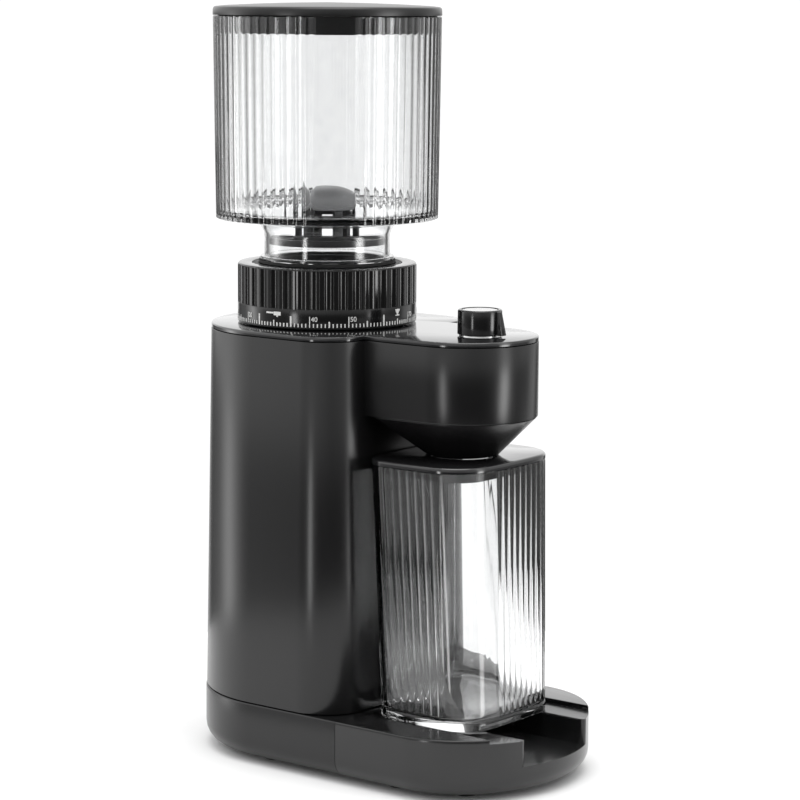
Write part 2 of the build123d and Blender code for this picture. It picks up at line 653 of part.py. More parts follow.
with BuildPart() as shaft_seal:
    ring_solid(AXIS_Y, [(4.35, 201.2), (9.0, 201.2), (9.0, 205.3), (4.35, 205.3)])
shaft_seal.part.label = "shaft_seal"
export_step(shaft_seal.part, "parts/shaft_seal.step")

LUG_ANGLES = (90, 210, 330)
LUG_Z = (245.0, 249.0)

with BuildPart() as hopper_throat:
    ring_solid(AXIS_Y, [(38.2, CHAMBER_Z[1] + 0.1), (46, CHAMBER_Z[1] + 0.1), (46, 235),
                        (41.2, 235), (41.2, 272.2), (38.2, 272.2)])
    for angle in LUG_ANGLES:
        with BuildSketch(Plane.XY.offset(LUG_Z[0] - 2.2)):
            with Locations((0, AXIS_Y)):
                with PolarLocations(40, 1, start_angle=angle):
                    Rectangle(8, 9.0)
        extrude(amount=LUG_Z[1] - LUG_Z[0] + 4.4, mode=Mode.SUBTRACT)
hopper_throat.part.label = "hopper_throat"
export_step(hopper_throat.part, "parts/hopper_throat.step")

with BuildPart() as drive_gear:
    spur_gear(AXIS_Y, GEAR_TEETH, 168.5, 176.5, 4.02, 90)
    disc(0, AXIS_Y, 9.0, 176.5, 179.5)
    disc(0, AXIS_Y, 4.02, 165, 185, mode=Mode.SUBTRACT)
drive_gear.part.label = "drive_gear"
export_step(drive_gear.part, "parts/drive_gear.step")

with BuildPart() as burr_shaft:
    disc(0, AXIS_Y, 4.0, 159.8, 259.0)
    disc(0, AXIS_Y, 3.0, 259.0, 266.0)
burr_shaft.part.label = "burr_shaft"
export_step(burr_shaft.part, "parts/burr_shaft.step")

with BuildPart() as grounds_sweeper:
    disc(0, AXIS_Y, 8.0, 206.0, 230.8)
    disc(0, AXIS_Y, 38.5, 207.0, 209.0)
    with BuildSketch(Plane.XY.offset(209.0)):
        with Locations((0, AXIS_Y)):
            with PolarLocations(23, 6):
                Rectangle(31, 3)
    extrude(amount=14.0)
    disc(0, AXIS_Y, 4.02, 200, 235, mode=Mode.SUBTRACT)
grounds_sweeper.part.label = "grounds_sweeper"
export_step(grounds_sweeper.part, "parts/grounds_sweeper.step")

CONE_LOW = (20.8, 233.0)                 # radius and height where the cone's flank starts
CONE_HIGH = (10.5, 253.0)

with BuildPart() as cone_burr:
    ring_solid(AXIS_Y, [(4.02, 231), (20.8, 231), CONE_LOW, CONE_HIGH, (4.02, CONE_HIGH[1])])
    # grinding grooves along the flank
    for angle in range(0, 360, 20):
        heading = Vector(cos(radians(angle)), sin(radians(angle)))
        foot = Vector(0, AXIS_Y, CONE_LOW[1] - 3) + heading * (CONE_LOW[0] + 1.4)
        lean = heading * (CONE_HIGH[0] - CONE_LOW[0]) + Vector(0, 0, CONE_HIGH[1] - CONE_LOW[1])
        with BuildSketch(Plane(origin=foot, z_dir=lean)):
            Circle(1.2)
        extrude(amount=30, mode=Mode.SUBTRACT)
cone_burr.part.label = "cone_burr"
export_step(cone_burr.part, "parts/cone_burr.step")

with BuildPart() as feed_screw:
    disc(0, AXIS_Y, 9.5, 253.1, 256.0)
    with BuildSketch(Plane.XY.offset(253.1)):
        with Locations((0, AXIS_Y)):
            with PolarLocations(8, 3):
                Rectangle(9, 3, rotation=15)
    extrude(amount=5.8)
    disc(0, AXIS_Y, 4.02, 250, 262, mode=Mode.SUBTRACT)
feed_screw.part.label = "feed_screw"
export_step(feed_screw.part, "parts/feed_screw.step")

with BuildPart() as burr_nut:
    with BuildSketch(Plane.XY.offset(259.2)):
        with Locations((0, AXIS_Y)):
            RegularPolygon(5.5, 6)
            Circle(3.02, mode=Mode.SUBTRACT)
    extrude(amount=4.5)
burr_nut.part.label = "burr_nut"
export_step(burr_nut.part, "parts/burr_nut.step")

# ---------------------------------------------------------------- upper burr, keyed in the throat
with BuildPart() as burr_carrier:
    ring_solid(AXIS_Y, [(27.15, 236.4), (37.8, 236.4), (37.8, 258.5), (36.4, 258.5),
                        (27.15, 254.8)])
    for angle in LUG_ANGLES:
        with BuildSketch(Plane.XY.offset(LUG_Z[0])):
            with Locations((0, AXIS_Y)):
                with PolarLocations(40, 1, start_angle=angle):
                    Rectangle(8.0, 8.0)
        extrude(amount=LUG_Z[1] - LUG_Z[0])
burr_carrier.part.label = "burr_carrier"
export_step(burr_carrier.part, "parts/burr_carrier.step")

with BuildPart() as ring_burr:
    ring_solid(AXIS_Y, [(22.3, 233.2), (27.1, 233.2), (27.1, 254.3), (14.4, 254.3)])
    with BuildSketch(Plane.XY.offset(247)):
        with Locations((0, AXIS_Y)):
            with PolarLocations(16, 6):
                Rectangle(9, 5)
    extrude(amount=10, mode=Mode.SUBTRACT)
ring_burr.part.label = "ring_burr"
export_step(ring_burr.part, "parts/ring_burr.step")

# ---------------------------------------------------------------- adjusting dial
with BuildPart() as adjusting_dial:
    ring_solid(AXIS_Y, [(41.6, DIAL_Z[0]), (DIAL_RADIUS - 0.2, DIAL_Z[0]),
                        (DIAL_RADIUS, DIAL_Z[0] + 0.4), (DIAL_RADIUS, DIAL_Z[1] - 1.0),
                        (DIAL_RADIUS - 1.0, DIAL_Z[1]), (42.4, DIAL_Z[1]),
                        (41.6, DIAL_Z[1] - 0.8), (41.6, LUG_Z[1] + 2.0), (44.6, LUG_Z[1] + 2.0),
                        (44.6, LUG_Z[0] - 2.0), (41.6, LUG_Z[0] - 2.0)])
    with BuildSketch(Plane.XY.offset(DIAL_BAND_TOP)):
        with Locations((0, AXIS_Y)):
            with PolarLocations(DIAL_RADIUS + 0.9, DIAL_FLUTES, start_angle=4.5):
                Circle(2.6)
    extrude(amount=DIAL_Z[1] - DIAL_BAND_TOP + 1, mode=Mode.SUBTRACT)
adjusting_dial.part.label = "adjusting_dial"
export_step(adjusting_dial.part, "parts/adjusting_dial.step")

# ---------------------------------------------------------------- hopper
HOPPER_WALL = 2.4
NECK_LOW = 262.0
NECK_TOP = 287.0

with BuildPart() as bean_hopper:
    top_r, low_r, thick = HOPPER_TOP_RADIUS, HOPPER_LOW_RADIUS, HOPPER_WALL
    ring_solid(AXIS_Y, [(top_r, HOPPER_Z[1]), (low_r, HOPPER_Z[0]), (40.5, 295.8), (37.6, 293.6),
                        (35.6, 290.5), (NECK_RADIUS, NECK_TOP), (NECK_RADIUS - thick, NECK_TOP),
                        (33.6, 292.0), (36.0, 296.0), (39.8, 298.3), (low_r - 4.0, 300.2),
                        (low_r - thick, 302.5), (top_r - thick, HOPPER_Z[1])])
bean_hopper.part.label = "bean_hopper"
export_step(bean_hopper.part, "parts/bean_hopper.step")

# lower end of the same moulding: neck, flange that lies on the gasket, three bayonet lugs
with BuildPart() as hopper_neck:
    ring_solid(AXIS_Y, [(NECK_RADIUS, NECK_TOP), (NECK_RADIUS, 276.2), (37.0, 276.2),
                        (37.0, 274.3), (NECK_RADIUS, 274.3), (NECK_RADIUS, NECK_LOW),
                        (NECK_RADIUS - HOPPER_WALL, NECK_LOW),
                        (NECK_RADIUS - HOPPER_WALL, NECK_TOP)])
    with BuildSketch(Plane.XY.offset(NECK_LOW)):
        with Locations((0, AXIS_Y)):
            with PolarLocations(35.9, 3, start_angle=30):
                Rectangle(3.2, 12)
    extrude(amount=6.0)
hopper_neck.part.label = "hopper_neck"
export_step(hopper_neck.part, "parts/hopper_neck.step")

with BuildPart() as hopper_gasket:
    ring_solid(AXIS_Y, [(NECK_RADIUS + 0.1, 272.7), (37.8, 272.7), (37.8, 274.2),
                        (NECK_RADIUS + 0.1, 274.2)])
hopper_gasket.part.label = "hopper_gasket"
export_step(hopper_gasket.part, "parts/hopper_gasket.step")

GUARD_POSTS = 6

with BuildPart() as finger_guard:
    # domed cap
    with BuildSketch(Plane.XZ.offset(-AXIS_Y)):
        with BuildLine():
            Line((0, 312.0), (7.0, 312.0))
            ThreePointArc((7.0, 312.0), (14.8, 308.9), (18.0, 303.0))
            Line((18.0, 303.0), (19.4, 302.4))
            Line((19.4, 302.4), (19.4, 300.4))
            Line((19.4, 300.4), (0, 300.4))
            Line((0, 300.4), (0, 312.0))
        make_face()
    revolve(axis=Axis((0, AXIS_Y, 0), (0, 0, 1)))
    ring_solid(AXIS_Y, [(13.4, 294.5), (18.6, 294.5), (18.6, 297.0), (13.4, 297.0)])
    ring_solid(AXIS_Y, [(13.4, 284.8), (18.6, 284.8), (18.6, 288.0), (13.4, 288.0)])
    ring_solid(AXIS_Y, [(29.6, 283.0), (32.2, 283.0), (32.2, 286.6), (29.6, 286.6)])
    with BuildSketch(Plane.XY.offset(285.0)):
        with Locations((0, AXIS_Y)):
            with PolarLocations(16, GUARD_POSTS):
                Rectangle(3.2, 5.0)
    extrude(amount=16.0)
    with BuildSketch(Plane.XY.offset(284.8)):
        with Locations((0, AXIS_Y)):
            with PolarLocations(24, 3, start_angle=30):
                Rectangle(14, 4.0)
    extrude(amount=1.8)
finger_guard.part.label = "finger_guard"
export_step(finger_guard.part, "parts/finger_guard.step")

with BuildPart() as hopper_lid:
    lid_r = HOPPER_TOP_RADIUS
    with BuildSketch(Plane.XZ.offset(-AXIS_Y)):
        with BuildLine():
            ThreePointArc((0, TOTAL_HEIGHT), (30, TOTAL_HEIGHT - 0.5), (59.6, TOTAL_HEIGHT - 2.0))
            ThreePointArc((59.6, TOTAL_HEIGHT - 2.0), (lid_r - 0.9, TOTAL_HEIGHT - 3.0),
                          (lid_r, TOTAL_HEIGHT - 4.8))
            Polyline((lid_r, TOTAL_HEIGHT - 4.8), (lid_r, 407.9), (59.9, 407.9), (59.9, 398.0),
                     (57.9, 398.0), (57.9, TOTAL_HEIGHT - 4.4), (0, TOTAL_HEIGHT - 2.6),
                     (0, TOTAL_HEIGHT))
        make_face()
    revolve(axis=Axis((0, AXIS_Y, 0), (0, 0, 1)))
hopper_lid.part.label = "hopper_lid"
export_step(hopper_lid.part, "parts/hopper_lid.step")

# ---------------------------------------------------------------- grounds jar
JAR_LOW = dict(half=40.6, front=-85.2, rear=-15.5, front_round=18.5, rear_round=17.0)
JAR_HIGH = dict(half=45.4, front=-82.7, rear=-12.4, front_round=25.0, rear_round=15.0)


def jar_section(z, inset=0.0):
    """Jar outline at a height, moved inwards by an inset."""
    share = (z - JAR_Z[0]) / (JAR_LID_TOP - JAR_Z[0])
    size = {key: JAR_LOW[key] + share * (JAR_HIGH[key] - JAR_LOW[key]) for key in JAR_LOW}
    size["half"] -= inset
    size["front"] += inset
    size["rear"] -= inset
    size["front_round"] -= inset
    size["rear_round"] -= inset
    with BuildSketch(Plane.XY.offset(z)) as section:
        bowed_plan(**size)
    return section.sketch


JAR_FLOOR = 37.0

with BuildPart() as grounds_jar:
    loft([jar_section(JAR_Z[0]), jar_section(JAR_Z[1])], ruled=True)
    hollow = [jar_section(JAR_FLOOR, JAR_WALL), jar_section(JAR_Z[1] + 1, JAR_WALL)]
    loft(hollow, ruled=True, mode=Mode.SUBTRACT)
grounds_jar.part.label = "grounds_jar"
export_step(grounds_jar.part, "parts/grounds_jar.step")

with BuildPart() as jar_lid:
    extrude(jar_section(JAR_Z[1] + 0.2), amount=JAR_LID_TOP - JAR_Z[1] - 0.2)
    fillet(jar_lid.edges().group_by(Axis.Z)[-1], 1.6)
    extrude(jar_section(JAR_Z[1] - 5.0, JAR_WALL + 0.5), amount=5.4)
    extrude(jar_section(JAR_Z[1] - 6.0, JAR_WALL + 2.6), amount=7.4, mode=Mode.SUBTRACT)
    disc(0, SPOUT_Y, SPOUT_RADIUS - 2.0, 160, 180, mode=Mode.SUBTRACT)
jar_lid.part.label = "jar_lid"
export_step(jar_lid.part, "parts/jar_lid.step")
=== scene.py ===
# %% [markdown]
# # A burr coffee grinder, piece by piece
# The grinder has a fluted clear hopper over a ribbed dial, a satin black motor column with a
# discharge head, and a fluted clear jar that stands on a tray base.  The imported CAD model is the
# fixed frame: every new piece is drawn in millimetres, scaled to metres when it is finished, and
# rides on the CAD body that it belongs to.

# %% Load the frame
import json
from math import atan2, asin, cos, degrees, pi, radians, sin, sqrt
import bmesh
import bpy
from mathutils import Matrix, Vector


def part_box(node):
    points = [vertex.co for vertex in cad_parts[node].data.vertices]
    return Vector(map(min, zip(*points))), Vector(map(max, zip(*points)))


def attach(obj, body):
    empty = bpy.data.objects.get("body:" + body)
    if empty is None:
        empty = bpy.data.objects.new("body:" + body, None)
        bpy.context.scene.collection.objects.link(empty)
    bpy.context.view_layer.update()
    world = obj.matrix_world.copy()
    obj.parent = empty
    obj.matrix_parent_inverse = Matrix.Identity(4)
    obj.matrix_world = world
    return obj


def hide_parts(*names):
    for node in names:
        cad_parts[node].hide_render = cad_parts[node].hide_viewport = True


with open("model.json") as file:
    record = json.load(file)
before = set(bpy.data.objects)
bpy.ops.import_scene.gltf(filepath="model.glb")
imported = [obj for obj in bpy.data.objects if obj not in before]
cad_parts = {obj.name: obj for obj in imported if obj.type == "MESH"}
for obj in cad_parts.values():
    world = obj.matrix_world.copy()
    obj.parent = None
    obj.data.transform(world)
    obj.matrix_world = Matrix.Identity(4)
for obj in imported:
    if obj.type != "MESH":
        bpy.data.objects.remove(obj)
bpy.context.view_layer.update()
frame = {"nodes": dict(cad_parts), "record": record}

# %% [markdown]
# ## Sizes that come from the CAD nodes
# Reading a box in millimetres keeps the numbers in this file easy to compare with the object.
# The grinding axis is the centre line of the dial.

# %% Boxes in millimetres
MM = 0.001


def box_mm(node):
    """Lowest and highest corner of a CAD node, in millimetres."""
    low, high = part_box(node)
    return low / MM, high / MM


column_low, column_high = box_mm("main_housing")
cover_low, cover_high = box_mm("top_cover")
dial_low, dial_high = box_mm("adjusting_dial")
AXIS_Y = (dial_low.y + dial_high.y) / 2
print("grinding axis at y =", round(AXIS_Y, 2))

# %% [markdown]
# ## Drawing outlines
# Most mouldings here are outlines at two or more heights with a skin between them.  An outline
# could be a curve object, but a wire in a bmesh is simpler to bridge: a few corner vertices are
# joined and each corner is rounded with a vertex bevel, whose profile of 0.5 is a true arc.

# %% Outline helpers
def edges_since(bm, before):
    """Edges that were made after the set `before` was taken."""
    return [edge for edge in bm.edges if edge not in before]


def weld(bm, edges, dist=0.001):
    """Merge the ends of edges that meet in one place."""
    own = {vert for edge in edges for vert in edge.verts}
    bmesh.ops.remove_doubles(bm, verts=list(own), dist=dist)


def swing(bm, tip, x, y, angle, steps):
    """Draw an arc from a vertex about x, y, by an angle in radians; returns its far end."""
    spun = bmesh.ops.spin(bm, geom=[tip], cent=(x, y, tip.co.z), axis=(0, 0, 1), dvec=(0, 0, 0),
                          angle=angle, steps=steps, use_merge=False, use_normal_flip=False,
                          use_duplicate=False)
    return spun["geom_last"][0]


def outline(bm, corners, z, steps=16, closed=True):
    """Flat wire through (x, y, rounding) corners; the roundings are arcs of `steps` edges."""
    before = set(bm.edges)
    verts = [bm.verts.new((x, y, z)) for x, y, rounding in corners]
    for first, second in zip(verts, verts[1:] + (verts[:1] if closed else [])):
        bm.edges.new((first, second))
    for vert, (x, y, rounding) in zip(verts, corners):
        if rounding:
            bmesh.ops.bevel(bm, geom=[vert], offset=rounding, segments=steps, profile=0.5,
                            affect="VERTICES", material=-1)
    weld(bm, edges_since(bm, before))
    return edges_since(bm, before)


def trace(bm, start, strokes):
    """Wire that goes straight to (x, y), or round (centre x, centre y, degrees, edges)."""
    before = set(bm.edges)
    tip = bm.verts.new(start)
    for stroke in strokes:
        if len(stroke) == 2:
            tip = bmesh.ops.extrude_vert_indiv(bm, verts=[tip])["verts"][0]
            tip.co = (*stroke, start[2])
        else:
            x, y, turn, steps = stroke
            tip = swing(bm, tip, x, y, radians(turn), steps)
    weld(bm, edges_since(bm, before))
    return edges_since(bm, before)


def ring(bm, radius, x, y, z, segments=64):
    """Round wire about an upright axis."""
    before = set(bm.edges)
    bmesh.ops.create_circle(bm, cap_ends=False, radius=radius, segments=segments,
                            matrix=Matrix.Translation((x, y, z)))
    return edges_since(bm, before)


def skin(bm, wires):
    """Walls between each wire and the next."""
    for lower, upper in zip(wires, wires[1:]):
        bmesh.ops.bridge_loops(bm, edges=lower + upper)


def lid_over(bm, *wires):
    """Flat face over one wire, or between an outer wire and the holes in it."""
    edges = [edge for wire in wires for edge in wire]
    if len(wires) == 1:
        bmesh.ops.edgeloop_fill(bm, edges=edges)
    else:
        bmesh.ops.triangle_fill(bm, use_beauty=True, use_dissolve=False, edges=edges)


def turned(bm, corners, x, y, steps=96, closed=True):
    """Turn a (radius, height, rounding) section about the upright axis at x, y."""
    start = set(bm.verts)
    wire = outline(bm, corners, 0, steps=4, closed=closed)
    own = list({vert for edge in wire for vert in edge.verts})
    bmesh.ops.rotate(bm, verts=own, cent=(0, 0, 0), matrix=Matrix.Rotation(radians(90), 3, "X"))
    bmesh.ops.translate(bm, verts=own, vec=(x, y, 0))
    bmesh.ops.spin(bm, geom=own + wire, cent=(x, y, 0), axis=(0, 0, 1), dvec=(0, 0, 0),
                   angle=2 * pi, steps=steps, use_merge=True, use_normal_flip=False,
                   use_duplicate=False)
    made = [vert for vert in bm.verts if vert not in start]
    bmesh.ops.remove_doubles(bm, verts=made, dist=0.001)


# %% [markdown]
# ## Finishing a piece
# Every piece ends the same way: its normals are made to point outwards, it is scaled to metres,
# shaded smooth with sharp edges kept by angle, given its material, and tied to its CAD body.

# %% Finish helper
pieces = {}


def finish_piece(name, bm, material, body, replaces=(), sharp=32):
    """Turn a bmesh in millimetres into a finished object that rides on a body."""
    bmesh.ops.recalc_face_normals(bm, faces=bm.faces)
    bmesh.ops.scale(bm, vec=(MM, MM, MM), verts=bm.verts)
    mesh = bpy.data.meshes.new(name)
    bm.to_mesh(mesh)
    bm.free()
    mesh.shade_smooth()
    mesh.set_sharp_from_angle(angle=radians(sharp))
    mesh.materials.append(material)
    piece = bpy.data.objects.new(name, mesh)
    bpy.context.collection.objects.link(piece)
    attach(piece, body)
    if replaces:
        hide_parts(*replaces)
    pieces[name] = piece
    print(name, len(mesh.vertices), "vertices", len(mesh.polygons), "faces")
    return piece


# %% [markdown]
# ## Materials
# A moulded plastic is one colour with a fine grain: the grain moves its roughness and tilts its
# surface a little.  Metals are the same recipe with the noise stretched along one direction, as
# a brush leaves it.

# %% Grained finish
def grained(name, dark, light, rough, grain_mm, relief, metal=0.0, stretch=(1, 1, 1), coat=0.0,
            coat_rough=0.05, ior=1.5):
    """Material with a noise grain in Object coordinates; rough is (least, most)."""
    material = bpy.data.materials.new(name)
    material.use_nodes = True
    nodes, links = material.node_tree.nodes, material.node_tree.links
    shader = nodes["Principled BSDF"]
    shader.inputs["Metallic"].default_value = metal
    shader.inputs["IOR"].default_value = ior
    shader.inputs["Coat Weight"].default_value = coat
    shader.inputs["Coat Roughness"].default_value = coat_rough
    place = nodes.new("ShaderNodeTexCoord")
    mapping = nodes.new("ShaderNodeMapping")
    mapping.inputs["Scale"].default_value = stretch
    links.new(place.outputs["Object"], mapping.inputs["Vector"])
    noise = nodes.new("ShaderNodeTexNoise")
    noise.inputs["Scale"].default_value = 1 / (grain_mm * MM)
    noise.inputs["Detail"].default_value = 4.0
    links.new(mapping.outputs["Vector"], noise.inputs["Vector"])
    ramp = nodes.new("ShaderNodeValToRGB")
    ramp.color_ramp.elements[0].position = 0.3
    ramp.color_ramp.elements[0].color = (*dark, 1)
    ramp.color_ramp.elements[1].position = 0.7
    ramp.color_ramp.elements[1].color = (*light, 1)
    links.new(noise.outputs["Fac"], ramp.inputs["Fac"])
    links.new(ramp.outputs["Color"], shader.inputs["Base Color"])
    spread = nodes.new("ShaderNodeMapRange")
    spread.inputs["To Min"].default_value = rough[0]
    spread.inputs["To Max"].default_value = rough[1]
    links.new(noise.outputs["Fac"], spread.inputs["Value"])
    links.new(spread.outputs["Result"], shader.inputs["Roughness"])
    if relief:
        bump = nodes.new("ShaderNodeBump")
        bump.inputs["Strength"].default_value = 0.25
        bump.inputs["Distance"].default_value = relief * MM
        links.new(noise.outputs["Fac"], bump.inputs["Height"])
        links.new(bump.outputs["Normal"], shader.inputs["Normal"])
    return material


satin_black = grained("satin_black", (0.0035, 0.0035, 0.0037), (0.006, 0.006, 0.0062),
                      (0.22, 0.28), 0.35, 0.010)
gloss_black = grained("gloss_black", (0.007, 0.007, 0.0075), (0.010, 0.010, 0.0105),
                      (0.10, 0.15), 1.6, 0.0, coat=0.5, coat_rough=0.04)
tray_black = grained("tray_black", (0.004, 0.004, 0.0042), (0.006, 0.006, 0.0062),
                     (0.20, 0.26), 0.5, 0.008, coat=0.2, coat_rough=0.06)
dial_black = grained("dial_black", (0.005, 0.005, 0.0052), (0.008, 0.008, 0.0082),
                     (0.11, 0.16), 0.4, 0.005)
lid_black = grained("lid_black", (0.005, 0.005, 0.0052), (0.008, 0.008, 0.0082),
                    (0.28, 0.34), 1.2, 0.004)
inner_grey = grained("inner_grey", (0.035, 0.035, 0.036), (0.05, 0.05, 0.052),
                     (0.45, 0.6), 0.4, 0.02)
rubber = grained("rubber", (0.010, 0.010, 0.010), (0.018, 0.018, 0.018), (0.65, 0.8), 0.25, 0.03)
steel = grained("steel", (0.50, 0.50, 0.51), (0.62, 0.62, 0.63), (0.22, 0.36), 0.5, 0.004,
                metal=1.0, stretch=(1, 1, 0.08))
burr_metal = grained("burr_metal", (0.36, 0.36, 0.37), (0.50, 0.50, 0.51), (0.28, 0.42), 0.6,
                     0.01, metal=1.0)
cap_metal = grained("cap_metal", (0.60, 0.60, 0.60), (0.72, 0.72, 0.72), (0.20, 0.32), 0.4,
                    0.003, metal=1.0, stretch=(0.06, 1, 1))
zinc = grained("zinc", (0.40, 0.41, 0.42), (0.55, 0.56, 0.57), (0.3, 0.5), 1.5, 0.01, metal=1.0)
brass = grained("brass", (0.66, 0.46, 0.20), (0.78, 0.57, 0.28), (0.25, 0.4), 0.6, 0.005,
                metal=1.0)
copper = grained("copper", (0.50, 0.20, 0.09), (0.68, 0.30, 0.15), (0.3, 0.45), 0.25, 0.03,
                 metal=1.0, stretch=(1, 1, 3))
lamination = grained("lamination", (0.20, 0.20, 0.21), (0.34, 0.34, 0.35), (0.35, 0.5), 0.3,
                     0.02, metal=1.0, stretch=(0.1, 0.1, 4))
ferrite = grained("ferrite", (0.03, 0.03, 0.032), (0.06, 0.06, 0.062), (0.5, 0.7), 0.5, 0.02)
graphite = grained("graphite", (0.03, 0.03, 0.03), (0.07, 0.07, 0.07), (0.4, 0.6), 0.3, 0.02)
board_green = grained("board_green", (0.01, 0.07, 0.03), (0.02, 0.12, 0.05), (0.25, 0.4), 1.5,
                      0.01)
nylon = grained("nylon", (0.62, 0.60, 0.54), (0.74, 0.72, 0.66), (0.4, 0.55), 0.6, 0.01)
scale_white = grained("scale_white", (0.72, 0.72, 0.71), (0.86, 0.86, 0.85), (0.45, 0.6), 0.3,
                      0.004)
# painted light: the guard cap's grey is the dark guard plastic painted lighter, standing in for the
# light it catches
guard_painted_light_grey = grained("guard_painted_light_grey", (0.24, 0.24, 0.245), (0.32, 0.32, 0.325), (0.3, 0.42),
                     0.5, 0.01)
guard_dark = grained("guard_dark", (0.03, 0.03, 0.031), (0.05, 0.05, 0.052), (0.3, 0.42),
                     0.5, 0.01)
print(len(bpy.data.materials), "materials")

# %% [markdown]
# Clear plastic bends light at its surfaces, so the flutes themselves make the light and dark
# lines.  A faint noise in the roughness keeps it from looking like polished glass.

# %% Clear plastic
clear = grained("clear", (0.955, 0.96, 0.965), (0.985, 0.99, 0.99), (0.004, 0.02), 6.0, 0.0,
                ior=1.52)
clear.node_tree.nodes["Principled BSDF"].inputs["Transmission Weight"].default_value = 1.0

# %% [markdown]
# ## Motor column
# The column is a tube that narrows upwards: a half circle behind, flat flanks and two rounded
# front corners.  The draft is read from the boxes of the column and the cover above it.  A scaled
# cube would need its corners rounded afterwards; wires at each height give them exactly.

# %% Column
CORNER = 26.5
column_half = (column_high.x - column_low.x) / 2
cover_half = (cover_high.x - cover_low.x) / 2
column_front = column_low.y
slope = (column_half - cover_half) / (cover_low.z - column_low.z)
ROUNDING = 0.5


def column_outline(bm, z, inset):
    """Outline of the column at a height."""
    inset += (z - column_low.z) * slope
    half, front, corner = column_half - inset, column_front + inset, CORNER - inset
    return outline(bm, [(half, AXIS_Y + half, half), (-half, AXIS_Y + half, half),
                        (-half, front, corner), (half, front, corner)], z, steps=24)


def rim(z_low, z_high, rounding=ROUNDING):
    """Heights and insets of an upright wall with both rims rounded."""
    soft = [(0.0, 1.0), (0.293, 0.293), (1.0, 0.0)]
    return ([(z_low + rounding * up, rounding * back) for up, back in soft]
            + [(z_high - rounding * up, rounding * back) for up, back in reversed(soft)])


WALL = 2.6
bm = bmesh.new()
wires = [column_outline(bm, z, inset) for z, inset in rim(column_low.z, column_high.z)]
wires += [column_outline(bm, z, WALL) for z in (column_high.z, column_low.z)]
skin(bm, wires + wires[:1])
finish_piece("column_wall", bm, satin_black, "housing", ["main_housing"])

# %% [markdown]
# ## Discharge head
# The head is a U-shaped wall that runs out of the column's front.  Its outline is left open, so
# the skin has two ends; they stand inside the column's wall and are filled.

# %% Head wall
head_low, head_high = box_mm("head_housing")
head_half = (head_high.x - head_low.x) / 2
HEAD_CORNER = 37.0
HEAD_REAR = column_front + 4.3


def head_outline(bm, z, inset):
    """Open outline of the head at a height."""
    half, nose, corner = head_half - inset, head_low.y + inset, HEAD_CORNER - inset
    return outline(bm, [(-half, HEAD_REAR, 0), (-half, nose, corner), (half, nose, corner),
                        (half, HEAD_REAR, 0)], z, steps=24, closed=False)


bm = bmesh.new()
wires = [head_outline(bm, z, inset) for z, inset in rim(head_low.z, head_high.z)]
wires += [head_outline(bm, z, WALL) for z in (head_high.z, head_low.z)]
skin(bm, wires + wires[:1])
bmesh.ops.holes_fill(bm, edges=[edge for edge in bm.edges if edge.is_boundary], sides=0)
finish_piece("head_wall", bm, satin_black, "housing", ["head_housing"])

# %% [markdown]
# ## Top cover
# One glossy plate closes the column and the head.  Its outline runs round both, and its flat
# faces are filled around the two holes for the burr throat and the knob's shaft.  Booleans could
# cut the holes, but filling between wires leaves no stray edges in a mirror-like face.

# %% Cover plate
KNOB_X, KNOB_Y = 0.0, sum(corner.y for corner in box_mm("start_button")) / 2
THROAT_HOLE, SHAFT_HOLE = 43.0, 4.0
EDGE = 0.8


def rounded_edge(z):
    """Heights and insets of a top edge at a height, rounded by EDGE."""
    return [(z - EDGE, 0.0), (z - 0.4, 0.11), (z - 0.11, 0.4), (z, EDGE)]


def cover_outline(bm, z, inset):
    """Outline of the cover at a height."""
    half, front = cover_half - inset, column_front + column_half - cover_half + inset
    corner, side = CORNER - column_half + half, head_half - inset
    nose, nose_round = head_low.y + inset, HEAD_CORNER - inset
    return outline(bm, [(half, AXIS_Y + half, half), (-half, AXIS_Y + half, half),
                        (-half, front, corner), (-side, front, 0), (-side, nose, nose_round),
                        (side, nose, nose_round), (side, front, 0), (half, front, corner)],
                   z, steps=24)


bm = bmesh.new()
levels = [(cover_low.z, 0.25), (cover_low.z + 0.25, 0.0)] + rounded_edge(cover_high.z)
wires = [cover_outline(bm, z, inset) for z, inset in levels]
skin(bm, wires)
throat_hole = [ring(bm, THROAT_HOLE, 0, AXIS_Y, z, 96) for z in (cover_low.z, cover_high.z)]
shaft_hole = [ring(bm, SHAFT_HOLE, KNOB_X, KNOB_Y, z, 32) for z in (cover_low.z, cover_high.z)]
skin(bm, throat_hole)
skin(bm, shaft_hole)
lid_over(bm, wires[0], throat_hole[0], shaft_hole[0])
lid_over(bm, wires[-1], throat_hole[1], shaft_hole[1])
finish_piece("cover_plate", bm, gloss_black, "housing", ["top_cover"])

# %% [markdown]
# ## Discharge funnel
# Under the head the housing draws in from a rounded rectangle to a round spout, as a ruled
# surface; the same outlines, moved inwards, make the inside.

# %% Funnel
funnel_low, funnel_high = box_mm("discharge_funnel")
SPOUT_Y, SPOUT_RADIUS = -47.0, 20.3
funnel_top = dict(half=head_half - 0.5, front=head_low.y + 0.5, rear=funnel_high.y,
                  front_round=HEAD_CORNER - 0.5, rear_round=3.0)
funnel_end = dict(half=SPOUT_RADIUS, front=SPOUT_Y - SPOUT_RADIUS, rear=SPOUT_Y + SPOUT_RADIUS,
                  front_round=SPOUT_RADIUS - 0.2, rear_round=SPOUT_RADIUS - 0.2)


def funnel_outline(bm, z, inset):
    """Outline of the funnel at a height, between its two ends."""
    share = (funnel_high.z - z) / (funnel_high.z - funnel_low.z)
    size = {key: funnel_top[key] + share * (funnel_end[key] - funnel_top[key])
            for key in funnel_top}
    half, front, rear = size["half"] - inset, size["front"] + inset, size["rear"] - inset
    front_round = size["front_round"] - inset
    rear_round = max(size["rear_round"] - inset, 1.0)
    return outline(bm, [(half, rear, rear_round), (-half, rear, rear_round),
                        (-half, front, front_round), (half, front, front_round)], z, steps=20)


